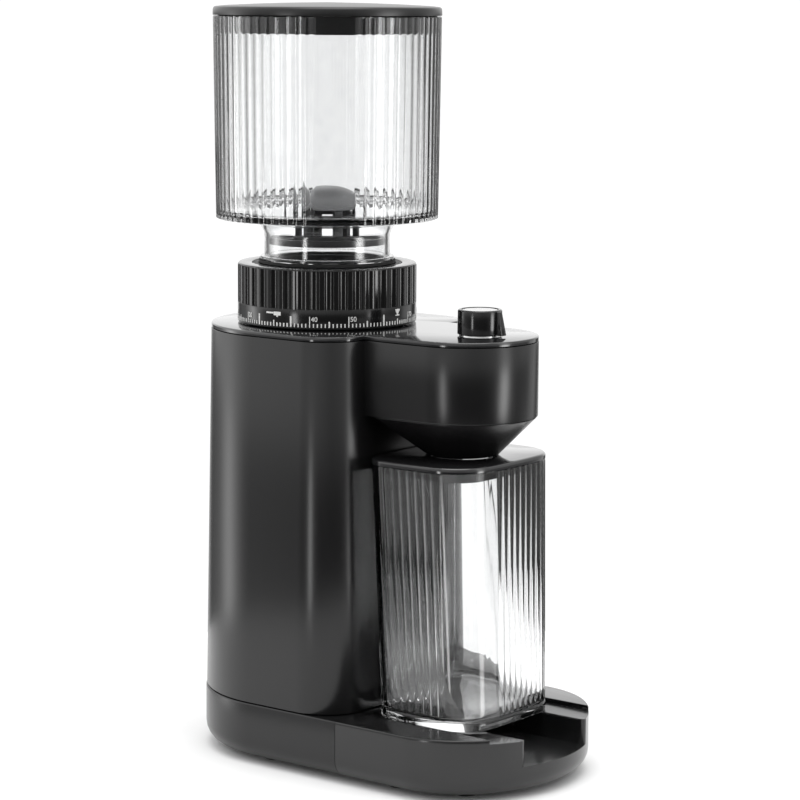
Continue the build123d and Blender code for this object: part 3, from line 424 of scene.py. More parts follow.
bm = bmesh.new()
low, high = funnel_low.z - 0.9, funnel_high.z
levels = [(low, 0.6), (low + 0.2, 0.2), (low + 0.6, 0.0), (low + 5, 0), (low + 10, 0),
          (low + 15, 0), (high - 0.3, 0.0), (high, 0.3), (high, 3.3), (low + 10, 2.8), (low, 2.4)]
wires = [funnel_outline(bm, z, inset) for z, inset in levels]
skin(bm, wires + wires[:1])
finish_piece("spout_funnel", bm, satin_black, "housing",
             ["discharge_funnel"])

# %% [markdown]
# ## Base
# The footprint is a half circle behind, straight flanks and a half ellipse in front.  The
# ellipse is a rounded half circle that is scaled along Y.  The wall leans in a little and turns
# under in a rounded edge.

# %% Base outline
shell_low, shell_high = box_mm("base_shell")
tray_low, tray_high = box_mm("front_tray")
base_half = (shell_high.x - shell_low.x) / 2
NOSE_Y = -58.0
NOSE_DEPTH = NOSE_Y - tray_low.y
UNDER = 10.0


def base_outline(bm, z, inset):
    """Footprint at a height, moved inwards."""
    half = base_half - inset
    wire = outline(bm, [(half, AXIS_Y + half, half), (-half, AXIS_Y + half, half),
                        (-half, NOSE_Y - half, half), (half, NOSE_Y - half, half)], z, steps=28)
    nose = {vert for edge in wire for vert in edge.verts if vert.co.y < NOSE_Y - 0.001}
    bmesh.ops.scale(bm, vec=(1, (NOSE_DEPTH - inset) / half, 1), verts=list(nose),
                    space=Matrix.Translation((0, -NOSE_Y, 0)))
    return wire


under = [(shell_low.z + UNDER * (1 - cos(radians(turn))), UNDER * (1 - sin(radians(turn))))
         for turn in (0, 15, 30, 45, 60, 75, 90)]
TOP = 34.4
edge_levels = rounded_edge(TOP)


def cut(bm, point, normal):
    """Cut everything with a plane, keep the side the normal points to, and close the cut."""
    made = bmesh.ops.bisect_plane(bm, geom=bm.verts[:] + bm.edges[:] + bm.faces[:], dist=0.0001,
                                  plane_co=point, plane_no=normal, clear_inner=True,
                                  clear_outer=False)
    rims = [item for item in made["geom_cut"] if isinstance(item, bmesh.types.BMEdge)]
    bmesh.ops.triangle_fill(bm, use_beauty=True, use_dissolve=True, normal=Vector(normal),
                            edges=rims)


# %% [markdown]
# The rear shell is the back half of the base, a moulding that is hollow from below, where the
# bottom plate closes it.  The whole footprint is skinned and then cut at the joint with the tray,
# because a cut gives both halves exactly the same outline.

# %% Rear shell
PLATE_INSET, PLATE_SEAT, ROOF = 12.6, 13.0, 3.0
bm = bmesh.new()
levels = ([(TOP - ROOF, WALL), (PLATE_SEAT, WALL), (PLATE_SEAT, PLATE_INSET),
           (shell_low.z, PLATE_INSET)] + under + edge_levels)
wires = [base_outline(bm, z, inset) for z, inset in levels]
skin(bm, wires)
lid_over(bm, wires[0])
lid_over(bm, wires[-1])
cut(bm, (0, shell_low.y, 0), (0, 1, 0))
finish_piece("rear_shell", bm, satin_black, "housing", ["base_shell"])

# %% [markdown]
# The front tray is built in three storeys, each a slice of the same footprint: a closed lower
# block, two ledge blocks either side of the channel, and two low rims beside the jar's bay.
# Cutting planes divide the slices, and a bevel softens the edges that the cuts leave.

# %% Front tray
LEDGE_Z, CHANNEL_Z, LEDGE_HALF, CHANNEL_HALF = 32.0, 18.0, 46.0, 27.0
MOUTH_Y, MOUTH_ROUND, LIP_ROUND, BRIDGE = NOSE_Y - 20, 5.0, 1.0, 5.0


def storey(levels, cuts):
    """One slice of the tray between flat faces, trimmed by planes."""
    part = bmesh.new()
    wires = [base_outline(part, z, inset) for z, inset in levels]
    skin(part, wires)
    lid_over(part, wires[0])
    lid_over(part, wires[-1])
    for point, normal in cuts:
        cut(part, point, normal)
    bmesh.ops.recalc_face_normals(part, faces=part.faces)
    return part


def soften(part, test, offset):
    """Bevel the edges whose two ends pass a test."""
    chosen = [edge for edge in part.edges if all(test(vert.co) for vert in edge.verts)
              and edge.is_manifold and edge.calc_face_angle(0) > 0.5]
    bmesh.ops.bevel(part, geom=chosen, offset=offset, segments=3, profile=0.5,
                    affect="EDGES", material=-1)


def beside_channel(co):
    """Whether a point lies on a side wall of the channel."""
    return abs(abs(co.x) - CHANNEL_HALF) < 0.01


def join(bm, part):
    """Add one bmesh to another."""
    spare = bpy.data.meshes.new("spare")
    part.to_mesh(spare)
    part.free()
    bm.from_mesh(spare)
    bpy.data.meshes.remove(spare)


rear_cut = ((0, tray_high.y, 0), (0, -1, 0))
bm = bmesh.new()
lower = storey([(PLATE_SEAT, PLATE_INSET), (shell_low.z, PLATE_INSET)] + under
               + [(CHANNEL_Z, 0.0)], [rear_cut])
join(bm, lower)
for side in (-1, 1):
    ledge = storey([(CHANNEL_Z, 0.0), (LEDGE_Z, 0.0)],
                   [rear_cut, ((side * CHANNEL_HALF, 0, 0), (side, 0, 0))])
    soften(ledge, lambda co: beside_channel(co) and co.y < MOUTH_Y, MOUTH_ROUND)
    soften(ledge, lambda co: beside_channel(co) and co.z > LEDGE_Z - 0.01, LIP_ROUND)
    join(bm, ledge)
    wall = storey([(LEDGE_Z, 0.0)] + edge_levels,
                  [rear_cut, ((side * LEDGE_HALF, 0, 0), (side, 0, 0))])
    join(bm, wall)
bridge = storey([(CHANNEL_Z, 0.0), (LEDGE_Z, 0.0)],
                [rear_cut, ((-CHANNEL_HALF, 0, 0), (1, 0, 0)), ((CHANNEL_HALF, 0, 0), (-1, 0, 0)),
                 ((0, tray_high.y - BRIDGE, 0), (0, 1, 0))])
join(bm, bridge)
finish_piece("jar_tray", bm, tray_black, "housing", ["front_tray"])

# %% [markdown]
# ## Reeded clear walls
# The hopper and the jar are reeded, as a mould with milled grooves leaves them: each reed is a
# shallow arc that bulges out between two valleys.  A displacement map would only hint at it, so a
# vertex is swung from valley to valley about the centre of each arc, and the reeds are true arcs
# that bend light as the real ones do.  Smooth windows are left where the mould has no grooves.

# %% One reed, and points along a path
def reed(bm, tip, start, end, bulge, steps):
    """Draw the arc from start to end that stands out by the bulge; returns its far end."""
    chord = end - start
    radius = (chord.length ** 2 / 4 + bulge ** 2) / (2 * bulge)
    inward = Vector((-chord.y, chord.x)) / chord.length
    centre = (start + end) / 2 + inward * (radius - bulge)
    return swing(bm, tip, centre.x, centre.y, 2 * asin(chord.length / 2 / radius), steps)


def spread_points(path, fractions):
    """Points at given fractions of the length of a closed path of (x, y) points."""
    points = [Vector(point) for point in path] + [Vector(path[0])]
    lengths = [(b - a).length for a, b in zip(points, points[1:])]
    total, found, walked, index = sum(lengths), [], 0.0, 0
    for fraction in fractions:
        target = fraction * total
        while walked + lengths[index] < target:
            walked += lengths[index]
            index += 1
        found.append(points[index].lerp(points[index + 1], (target - walked) / lengths[index]))
    return found


# %% [markdown]
# ## Bean hopper
# The hopper is one moulding: a reeded wall that widens upwards, a shoulder, and a smooth neck
# with a flange and three lugs.  The reeded outer wall is skinned to a smooth inner wall over the
# rim, and the shoulder and neck are turned wires bridged on below.

# %% Hopper outline
hopper_low, hopper_high = box_mm("bean_hopper")
neck_z = box_mm("hopper_neck")[0].z
HOPPER_TOP, HOPPER_FOOT = (hopper_high.x - hopper_low.x) / 2, 61.5
WALL_FOOT_Z = 297.0
REED_BULGE = 0.66
WINDOW_AZIMUTH, WINDOW_WIDTH, REEDS = -46.7, 22.7, 31


def hopper_wire(bm, z, radius):
    """Reeded wire whose reeds touch the given radius; the two windows are arcs about the axis."""
    pitch = (180 - WINDOW_WIDTH) / REEDS
    angles = [WINDOW_AZIMUTH + half_turn - 90 + WINDOW_WIDTH / 2 + pitch * step
              for half_turn in (0, 180) for step in range(REEDS + 1)]
    valleys = [Vector(((radius - REED_BULGE) * cos(radians(angle)),
                       AXIS_Y + (radius - REED_BULGE) * sin(radians(angle)))) for angle in angles]
    before = set(bm.edges)
    tip = bm.verts.new((*valleys[0], z))
    for index, (start, end) in enumerate(zip(valleys, valleys[1:] + valleys[:1])):
        if index % (REEDS + 1) == REEDS:
            tip = swing(bm, tip, 0, AXIS_Y, radians(WINDOW_WIDTH), 12)
        else:
            tip = reed(bm, tip, start, end, REED_BULGE, 5)
    weld(bm, edges_since(bm, before), 0.02)
    return edges_since(bm, before)


print("reeds round the hopper:", 2 * REEDS)

# %% [markdown]
# The lugs, the guard's posts and the printed marks are all small blocks carried round the
# grinding axis.  A block could be a scaled object of its own, but vertices moved inside one bmesh
# keep every finished object unturned and unscaled.

# %% Blocks round the axis
def block(bm, size):
    """Block about the origin; returns its vertices."""
    before = set(bm.verts)
    bmesh.ops.create_cube(bm, size=1.0)
    own = [vert for vert in bm.verts if vert not in before]
    bmesh.ops.scale(bm, vec=size, verts=own)
    return own


def round_off(bm, verts):
    """Round all edges of a block; returns its new vertices."""
    others = set(bm.verts) - set(verts)
    bmesh.ops.bevel(bm, geom=list({edge for vert in verts for edge in vert.link_edges}),
                    offset=0.5, segments=2, profile=0.5, affect="EDGES", material=-1)
    return [vert for vert in bm.verts if vert not in others]


def carry_round(bm, verts, offset, angle):
    """Move vertices by an offset from the grinding axis and turn them about it by degrees."""
    bmesh.ops.translate(bm, vec=offset, verts=verts)
    bmesh.ops.rotate(bm, verts=verts, cent=(0, 0, 0),
                     matrix=Matrix.Rotation(radians(angle), 3, "Z"))
    bmesh.ops.translate(bm, vec=(0, AXIS_Y, 0), verts=verts)


# %% [markdown]
# The outer wall is four reeded wires.  The inner side is one profile of round wires that goes
# down inside the wall, across the shoulder, down the neck, round its flange and back out, so the
# whole moulding is one closed skin.

# %% Hopper wall
bm = bmesh.new()
top_z = hopper_high.z
outer = [hopper_wire(bm, z, radius) for z, radius in (
    (WALL_FOOT_Z + 0.4, HOPPER_FOOT - 0.1), (WALL_FOOT_Z + 1.0, HOPPER_FOOT),
    (top_z - 0.6, HOPPER_TOP), (top_z, HOPPER_TOP - 0.5))]
skin(bm, outer)
inner_profile = [
    (HOPPER_TOP - 2.3, top_z), (HOPPER_FOOT - 2.4, 302.5), (HOPPER_FOOT - 2.9, 301.0),
    (HOPPER_FOOT - 4.2, 300.2), (39.8, 298.3), (37.4, 297.0), (36.0, 295.8), (33.6, 292.0),
    (32.6, 289.0), (32.4, 287.0), (32.4, neck_z + 0.3), (32.7, neck_z), (34.5, neck_z),
    (34.8, neck_z + 0.3), (34.8, 274.3), (36.7, 274.3), (37.0, 274.6), (37.0, 275.9),
    (36.7, 276.2), (34.8, 276.2), (34.8, 287.0), (35.0, 289.0), (35.6, 290.5), (37.6, 293.6),
    (39.0, 295.2), (40.5, 295.8), (HOPPER_FOOT - 1.8, WALL_FOOT_Z - 0.1)]
inner = [ring(bm, radius, 0, AXIS_Y, z, len(outer[0])) for radius, z in inner_profile]
skin(bm, [outer[-1]] + inner)
skin(bm, [inner[-1], outer[0]])
for angle in (30, 150, 270):
    lug = round_off(bm, block(bm, (2.6, 12.0, 6.0)))
    carry_round(bm, lug, (36.1, 0, neck_z + 3.0), angle)
finish_piece("hopper_wall", bm, clear, "hopper", ["bean_hopper", "hopper_neck"],
             sharp=40)

# %% [markdown]
# ## Hopper lid
# A shallow black dome with a rounded rim and a collar that drops inside the wall.  It is round all
# over, so one section turned about the axis makes it; a scaled sphere would have no true rim.

# %% Hopper lid
cap_low, cap_high = box_mm("hopper_lid")
lid_radius = (cap_high.x - cap_low.x) / 2
top = cap_high.z
bm = bmesh.new()
turned(bm, [(0, top, 0), (30, top - 0.5, 8), (58.6, top - 1.9, 3),
            (lid_radius - 0.1, top - 2.6, 1.6), (lid_radius, top - 7.1, 0.3),
            (59.9, top - 7.1, 0.4), (59.9, cap_low.z, 0.3), (57.9, cap_low.z, 0.3),
            (57.9, top - 4.4, 1.0), (0, top - 2.6, 0)], 0, AXIS_Y, 128, closed=False)
finish_piece("hopper_cap", bm, lid_black, "hopper_cover", ["hopper_lid"])

# %% [markdown]
# ## Adjusting dial
# The grip has forty round grooves.  Its wire goes along a land about the axis, then back round
# the centre of a groove, and so on; the sharp edges between them are softened with a small
# vertex bevel before the walls are raised.

# %% Dial grip
dial_radius = (dial_high.x - dial_low.x) / 2
BAND_TOP, FLUTES, FIRST_GROOVE = 250.9, 40, 4.5
GROOVE, GROOVE_AT = 2.6, 0.9


def grip_wire(bm, z):
    """Outline of the grip: lands about the axis and round grooves between them."""
    before = set(bm.edges)
    offset = dial_radius + GROOVE_AT
    half_groove = degrees(2 * asin(sqrt(GROOVE ** 2 - GROOVE_AT ** 2) / (2 * dial_radius)))
    pitch = 360 / FLUTES
    start = radians(FIRST_GROOVE + half_groove)
    tip = bm.verts.new((dial_radius * cos(start), AXIS_Y + dial_radius * sin(start), z))
    ridge = [tip]
    for flute in range(FLUTES):
        middle = radians(FIRST_GROOVE + pitch * (flute + 1))
        centre = Vector((offset * cos(middle), AXIS_Y + offset * sin(middle)))
        tip = swing(bm, tip, 0, AXIS_Y, radians(pitch - 2 * half_groove), 3)
        ridge.append(tip)
        reach = Vector((tip.co.x, tip.co.y)) - centre
        inward = Vector((-cos(middle), -sin(middle)))
        tip = swing(bm, tip, centre.x, centre.y, -2 * reach.angle(inward), 7)
        ridge.append(tip)
    weld(bm, edges_since(bm, before), 0.05)
    ridge = [vert for vert in ridge if vert.is_valid]
    bmesh.ops.bevel(bm, geom=ridge, offset=0.28, segments=2, profile=0.5, affect="VERTICES",
                    material=-1)
    return edges_since(bm, before)


bm = bmesh.new()
top = dial_high.z
grip = [grip_wire(bm, BAND_TOP), grip_wire(bm, top - 1.0)]
bore = [ring(bm, 44.6, 0, AXIS_Y, z, 96) for z in (BAND_TOP, top - 1.0)]
skin(bm, grip)
skin(bm, bore)
lid_over(bm, grip[0], bore[0])
lid_over(bm, grip[1], bore[1])
turned(bm, [(41.6, dial_low.z, 0), (dial_radius, dial_low.z, 0.4), (dial_radius, BAND_TOP, 0.15),
            (41.6, BAND_TOP, 0)], 0, AXIS_Y, 160)
turned(bm, [(41.6, top - 1.0, 0), (dial_radius - 0.3, top - 1.0, 0.15),
            (dial_radius - 0.5, top, 0.5), (41.6, top, 0.5)], 0, AXIS_Y, 160)
finish_piece("dial_grip", bm, dial_black, "dial", ["adjusting_dial"])

# %% [markdown]
# ## The dial's scale
# White marks are printed round the band: 140 short ones, longer ones at the fives and tens, and
# bold ones that frame two ranges.  Each mark is a thin block that stands a hair out of the band,
# copied round the axis.

# %% Scale marks
STEP = 360 / 146
INDEX = 65


def stamp(bm, number, z, width, height, across=0.0):
    """Thin printed block at a number on the scale, moved across by millimetres."""
    turn = (number - INDEX) * STEP + degrees(across / dial_radius)
    carry_round(bm, block(bm, (width, 0.3, height)), (0, 0.1 - dial_radius, z), turn)


bm = bmesh.new()
MARK_LOW = dial_low.z + 1.1
for number in range(141):
    bold = 25 <= number <= 35 or 60 <= number <= 70
    if number in (25, 35, 60):
        width, height = 1.0, 5.9
    elif number % 10 == 0 and number != 30:
        width, height = 0.5, 5.9
    elif number % 5 == 0:
        width, height = 0.8, 3.2
    else:
        width, height = (0.85 if bold else 0.6), 2.0
    stamp(bm, number, MARK_LOW + height / 2, width, height)
finish_piece("scale_marks", bm, scale_white, "dial")

# %% [markdown]
# The numbers stand over the tens, apart from 30 and 60, which lie in the bold ranges.  They are
# text turned into a mesh first and placed afterwards, so the finished object sits at the origin
# like every other piece.

# %% Scale numbers
bm = bmesh.new()
for number in (0, 10, 20, 40, 50, 70, 80, 90, 100, 110, 120, 130, 140):
    words = bpy.data.curves.new("number", "FONT")
    words.body = str(number)
    words.size = 3.7
    words.extrude = 0.1
    carrier = bpy.data.objects.new("number", words)
    bpy.context.collection.objects.link(carrier)
    bpy.context.view_layer.update()
    depsgraph = bpy.context.evaluated_depsgraph_get()
    mesh = bpy.data.meshes.new_from_object(carrier.evaluated_get(depsgraph))
    before = set(bm.verts)
    bm.from_mesh(mesh)
    own = [vert for vert in bm.verts if vert not in before]
    bmesh.ops.rotate(bm, verts=own, cent=(0, 0, 0), matrix=Matrix.Rotation(radians(90), 3, "X"))
    carry_round(bm, own, (0.7, -dial_radius - 0.03, MARK_LOW + 3.2), (number - INDEX) * STEP)
    bpy.data.objects.remove(carrier)
    bpy.data.meshes.remove(mesh)
    bpy.data.curves.remove(words)
bmesh.ops.remove_doubles(bm, verts=bm.verts, dist=0.0005)
finish_piece("scale_numbers", bm, scale_white, "dial")

# %% [markdown]
# Two small pictures stand beside the bold ranges: a brewing handle at 30 and a filter cup at 65.
# They are printed too small to need curves, so rows of blocks make them.

# %% Scale pictures
bm = bmesh.new()
PICTURE_Z = dial_low.z + 7.9
for across in (-4.4, -3.2, -2.0, -0.8):
    stamp(bm, 30, PICTURE_Z + 0.3, 1.3, 0.9, across)
for across in (0.6, 1.7, 2.8, 3.9):
    stamp(bm, 30, PICTURE_Z, 1.2, 2.0, across)
stamp(bm, 30, PICTURE_Z - 1.4, 1.0, 0.8, 2.3)
for row, width in enumerate((4.0, 3.4, 2.6, 1.8)):
    stamp(bm, 65, PICTURE_Z + 1.2 - 0.6 * row, width, 0.62)
stamp(bm, 65, PICTURE_Z - 1.2, 1.2, 0.7)
stamp(bm, 65, PICTURE_Z - 1.8, 3.4, 0.6)
finish_piece("scale_pictures", bm, scale_white, "dial")

# %% [markdown]
# ## Finger guard
# Inside the hopper a domed cap stands on six posts over the burrs, so fingers can't reach them.
# The cap is round, so its section is turned.

# %% Finger guard
bm = bmesh.new()
top = box_mm("finger_guard")[1].z
turned(bm, [(0, top, 0), (9.0, top, 4), (18.0, top - 5.0, 4), (18.0, top - 9.4, 0.3),
            (19.4, top - 9.8, 0.3), (19.4, top - 11.6, 0.3), (0, top - 11.6, 0)], 0, AXIS_Y, 64,
       closed=False)
# the cap's grey is a painted highlight for the light the dome catches, not the plastic's own colour
finish_piece("guard_cap", bm, guard_painted_light_grey, "hopper", ["finger_guard"])

# %% [markdown]
# Six posts and three spokes join the cap to the rings under it.  They are darker than the cap,
# whose grey is painted light: a lighter copy of the same dark plastic that stands in for the light
# the cap catches.  So the posts are a piece of their own.

# %% Guard frame
bm = bmesh.new()
for low_r, high_r, low_z, high_z in ((13.4, 18.6, 294.5, 297.0), (13.4, 18.6, 284.8, 288.0),
                                     (29.6, 32.2, 283.0, 286.6)):
    turned(bm, [(low_r, low_z, 0.4), (high_r, low_z, 0.4), (high_r, high_z, 0.4),
                (low_r, high_z, 0.4)], 0, AXIS_Y, 64)
for post in range(6):
    carry_round(bm, round_off(bm, block(bm, (3.2, 5.0, 16.0))), (16.0, 0, 293.0), 60 * post)
for spoke in range(3):
    carry_round(bm, round_off(bm, block(bm, (14.0, 4.0, 1.8))), (24.0, 0, 285.7),
                30 + 120 * spoke)
finish_piece("guard_frame", bm, guard_dark, "hopper")

# %% [markdown]
# ## Grounds jar
# The jar's outline has a gently bowed front and rounded corners, and it widens upwards.  The
# reeds keep their number from foot to rim, so they draw closer downwards.  The foot is a smooth
# thick band.

# %% Jar outline
jar_low, jar_high = box_mm("grounds_jar")
lid_low, lid_high = box_mm("jar_lid")
BOW = 300.0
JAR_FOOT = dict(half=40.6, front=-85.2, rear=-15.5, front_round=18.5, rear_round=17.0)
JAR_TOP = dict(half=45.4, front=-82.7, rear=-12.4, front_round=25.0, rear_round=15.0)


def jar_path(bm, z, inset):
    """Wire of the jar's smooth outline at a height."""
    share = (z - jar_low.z) / (lid_high.z - jar_low.z)
    size = {key: JAR_FOOT[key] + share * (JAR_TOP[key] - JAR_FOOT[key]) for key in JAR_FOOT}
    half, rear = size["half"] - inset, size["rear"] - inset
    front_r, rear_r = size["front_round"] - inset, size["rear_round"] - inset
    bow_y = size["front"] + BOW
    fillet_x = half - front_r
    fillet_y = bow_y - sqrt((BOW - inset - front_r) ** 2 - fillet_x ** 2)
    turn = degrees(atan2(bow_y - fillet_y, fillet_x))
    return trace(bm, (0, rear, z),
                 [(-half + rear_r, rear), (-half + rear_r, rear - rear_r, 90, 12),
                  (-half, fillet_y), (-fillet_x, fillet_y, turn, 16),
                  (0, bow_y, 2 * (90 - turn), 16), (fillet_x, fillet_y, turn, 16),
                  (half, rear - rear_r), (half - rear_r, rear - rear_r, 90, 12), (0, rear)])


def walk(wire):
    """Points of a closed wire in order, starting behind the jar and going to the left."""
    start = max((vert for edge in wire for vert in edge.verts),
                key=lambda vert: (round(vert.co.y, 3), -abs(vert.co.x)))
    points, vert = [start], start
    edge = next(edge for edge in start.link_edges if edge in wire
                and edge.other_vert(start).co.x < start.co.x)
    while True:
        vert = edge.other_vert(vert)
        if vert is start:
            return [(point.co.x, point.co.y) for point in points]
        points.append(vert)
        edge = next(other for other in vert.link_edges if other is not edge and other in wire)


# %% [markdown]
# The reeds are counted from the middle of the back.  Two windows stay flat, one at the left
# front corner and one behind it, so that the grounds can be seen.

# %% Reeded jar outline
JAR_REEDS, JAR_BULGE, REED_STEPS = 54, 0.66, 5
FLAT_REEDS = set(range(17, 24)) | set(range(42, 48))


def jar_wire(bm, z, inset, bulge):
    """Reeded outline of the jar; the windows follow the smooth outline."""
    scratch = bmesh.new()
    path = walk(jar_path(scratch, z, inset + bulge))
    scratch.free()
    total = JAR_REEDS * REED_STEPS
    points = spread_points(path, [step / total for step in range(total)])
    before = set(bm.edges)
    tip = bm.verts.new((*points[0], z))
    for first in range(0, total, REED_STEPS):
        steps = points[first:first + REED_STEPS] + [points[(first + REED_STEPS) % total]]
        if bulge < 0.05 or first // REED_STEPS in FLAT_REEDS:
            for point in steps[1:]:
                tip = bmesh.ops.extrude_vert_indiv(bm, verts=[tip])["verts"][0]
                tip.co = (*point, z)
        else:
            tip = reed(bm, tip, steps[0], steps[-1], bulge, REED_STEPS)
    weld(bm, edges_since(bm, before), 0.02)
    return edges_since(bm, before)


print("flat reeds:", len(FLAT_REEDS), "of", JAR_REEDS)

# %% [markdown]
# The wall is a stack of these wires: up the thick foot, over a small step where the reeds begin,
# up to the rim and down the smooth inside to the floor of the jar.

# %% Jar wall
bm = bmesh.new()
low, high = jar_low.z, jar_high.z
levels = [(low, 1.2, 0), (low + 0.35, 0.35, 0), (low + 1.2, 0.0, 0), (low + 4.2, 0.0, 0),
          (low + 4.9, 0.25, 0), (low + 5.3, 0.6, 0), (low + 5.8, 0.3, 0.3),
          (low + 6.6, 0.0, JAR_BULGE), (high - 0.6, 0.0, JAR_BULGE), (high, 0.5, 0.3),
          (high, 2.0, 0), (high - 0.5, 2.3, 0), (45.0, 2.3, 0), (39.5, 2.6, 0), (37.8, 3.8, 0),
          (37.0, 6.0, 0)]
wires = [jar_wire(bm, z, inset, bulge) for z, inset, bulge in levels]
skin(bm, wires)
lid_over(bm, wires[0])
lid_over(bm, wires[-1])
finish_piece("jar_wall", bm, clear, "jar", ["grounds_jar"], sharp=40)

# %% [markdown]
# ## Jar lid
# A flat glossy lid with a rounded rim, a hole under the spout and a collar inside the jar.

# %% Jar lid
bm = bmesh.new()
low, high = lid_low.z, lid_high.z
plate = 171.0
levels = [(plate, 3.0), (plate, 0.3), (plate + 0.3, 0.0), (high - 1.6, 0.0), (high - 0.8, 0.22),
          (high - 0.25, 0.8), (high, 1.7)]
wires = [jar_path(bm, z, inset) for z, inset in levels]
hole = [ring(bm, SPOUT_RADIUS - 2.0, 0, SPOUT_Y, z, 64) for z in (plate, high)]
skin(bm, wires[1:])
skin(bm, hole)
bmesh.ops.delete(bm, geom=list({vert for edge in wires[0] for vert in edge.verts}), context="VERTS")
lid_over(bm, wires[-1], hole[1])
lid_over(bm, wires[1], hole[0])
collar = [jar_path(bm, z, inset) for z, inset in ((plate, 2.8), (low + 0.3, 2.8), (low, 3.1),
                                                  (low, 4.6), (low + 0.3, 4.9), (plate, 4.9))]
skin(bm, collar + collar[:1])
finish_piece("jar_cap", bm, gloss_black, "jar", ["jar_lid"])

# %% [markdown]
# ## Knob and start button
# The knob is turned, with a tapered pointer on its front; the brushed cap in its top is the
# start button.

# %% Knob
knob_low, knob_high = box_mm("selector_knob")
bm = bmesh.new()
KNOB_RADIUS = (knob_high.x - knob_low.x) / 2
top = knob_high.z
turned(bm, [(0, 241.4, 0), (4.6, 241.4, 0), (4.6, knob_low.z, 0), (KNOB_RADIUS, knob_low.z, 0.4),
            (KNOB_RADIUS - 0.2, top - 0.5, 0.3), (KNOB_RADIUS - 0.9, top, 0.3),
            (9.9, top, 0.3), (9.9, 250.2, 0), (0, 250.2, 0)], KNOB_X, KNOB_Y, 96, closed=False)
fin = block(bm, (4.4, 6.0, top - 0.6 - knob_low.z))
upper = [vert for vert in fin if vert.co.z > 0]
bmesh.ops.scale(bm, vec=(0.63, 0.62, 1), verts=upper)
bmesh.ops.translate(bm, vec=(0, 1.3, 0), verts=upper)
bmesh.ops.translate(bm, vec=(KNOB_X, KNOB_Y - 13.1, (top - 0.6 + knob_low.z) / 2),
                    verts=round_off(bm, fin))
finish_piece("knob_grip", bm, dial_black, "knob", ["selector_knob"])

# %% [markdown]
# The button is a metal disc with a low rim and a faintly dished face.  It is turned like the knob,
# so the brushed finish is what makes it look different.

# %% Button
button_low, button_high = box_mm("start_button")
bm = bmesh.new()
radius = (button_high.x - button_low.x) / 2
top = knob_high.z - 0.3
turned(bm, [(0, button_low.z, 0), (radius, button_low.z, 0), (radius, top - 0.1, 0.3),
            (radius - 0.9, top, 0.3), (radius - 2.5, top - 0.2, 0.6), (0, top - 0.35, 0)],
       KNOB_X, KNOB_Y, 96, closed=False)
finish_piece("button_cap", bm, cap_metal, "button", ["start_button"])

# %% [markdown]
# ## Finishes of the CAD nodes that stay
# The working parts inside, the feet, the screws and the seals keep their CAD shape, and each
# gets the finish of its slot.

# %% Carried-over nodes
finish_of_slot = {
    "housing_plastic": satin_black, "cover_plastic": gloss_black, "inner_plastic": inner_grey,
    "foot_rubber": rubber, "fastener_steel": steel, "bright_trim": cap_metal,
    "zinc_metal": zinc, "knob_plastic": dial_black, "button_metal": cap_metal,
    "bearing_steel": steel, "magnet_ferrite": ferrite, "carbon": graphite,
    "lamination_steel": lamination, "copper_wire": copper, "brass_gear": brass,
    "circuit_board": board_green, "gear_nylon": nylon, "burr_steel": burr_metal,
    # guard plastic takes the cap's grey, which is painted light, not the plastic's own dark colour
    "dial_plastic": dial_black, "clear_plastic": clear, "guard_plastic": guard_painted_light_grey,
    "lid_plastic": lid_black}
for part in frame["record"]["subparts"]:
    mesh = frame["nodes"][part["node"]].data
    mesh.materials.clear()
    mesh.materials.append(finish_of_slot[part["material_slot"]])
print(len(frame["nodes"]), "CAD nodes finished")

# %% [markdown]
# ## Floor, light and camera
# The floor is a pale disc, just large enough for the object and its soft shadow.  A larger one
# would mirror itself in the black walls and make them grey.

# %% Floor
bm = bmesh.new()
FLOOR_RADIUS = 0.32
bmesh.ops.create_circle(bm, cap_ends=True, radius=FLOOR_RADIUS, segments=96)
floor_mesh = bpy.data.meshes.new("floor")
bm.to_mesh(floor_mesh)
bm.free()
floor = bpy.data.objects.new("floor", floor_mesh)
bpy.context.collection.objects.link(floor)
floor_white = grained("floor_white", (0.86, 0.86, 0.86), (0.88, 0.88, 0.88), (0.8, 0.9), 30, 0.0)
floor_white.node_tree.nodes["Principled BSDF"].inputs["Specular IOR Level"].default_value = 0.0
floor_mesh.materials.append(floor_white)
print("floor radius", FLOOR_RADIUS)

# %% [markdown]
# A photographer lights black gloss with tall strips of light and dark boards between them, so
# that upright highlights draw its shape.  Here one procedural sky does that: two ramps give the
# brightness round the object.  The low one is what upright walls reflect and clear walls let
# through, and the high one is what the tops reflect.  Area lamps could do the same, but a sky has
# no edges to place.  The camera itself sees plain white behind the object.

# %% Zones of the studio
# azimuth from -Y towards +X in degrees, and how bright that side of the studio is
LOW = [(-180, 0.5), (-172, 1.2), (-160, 3.6), (-150, 1.6), (-138, 0.5), (-112, 0.2), (-98, 0.15),
       (-94.5, 7.5), (-91.5, 7.5), (-88, 0.15), (-68, 0.08), (-20, 0.06), (2, 0.3), (9, 7.5),
       (17, 7.5), (24, 0.6), (40, 0.3), (58, 0.3), (66, 0.9), (84, 0.9), (92, 0.08),
       (102, 0.08), (110, 0.98), (146, 0.98), (154, 0.08), (180, 0.5)]
HIGH = [(-180, 1.3), (-160, 2.0), (-120, 1.0), (-80, 1.0), (-40, 0.6), (0, 0.8), (13, 3.0),
        (30, 0.8), (80, 0.8), (105, 1.25), (150, 1.3), (180, 1.3)]
BRIGHTEST = 8.0
OVERHEAD, UNDERFOOT = 1.5, 0.05
# heights of the direction, as sines, between which one zone fades into the next
HORIZON, CEILING, GROUND = (-0.03, 0.03), (0.45, 0.85), (-0.5, -0.38)
print(len(LOW), "low and", len(HIGH), "high stops")

# %% [markdown]
# The ramps are read by the compass bearing of each direction, which comes from its X and Y parts
# by an arc tangent, and stacked by its Z part.

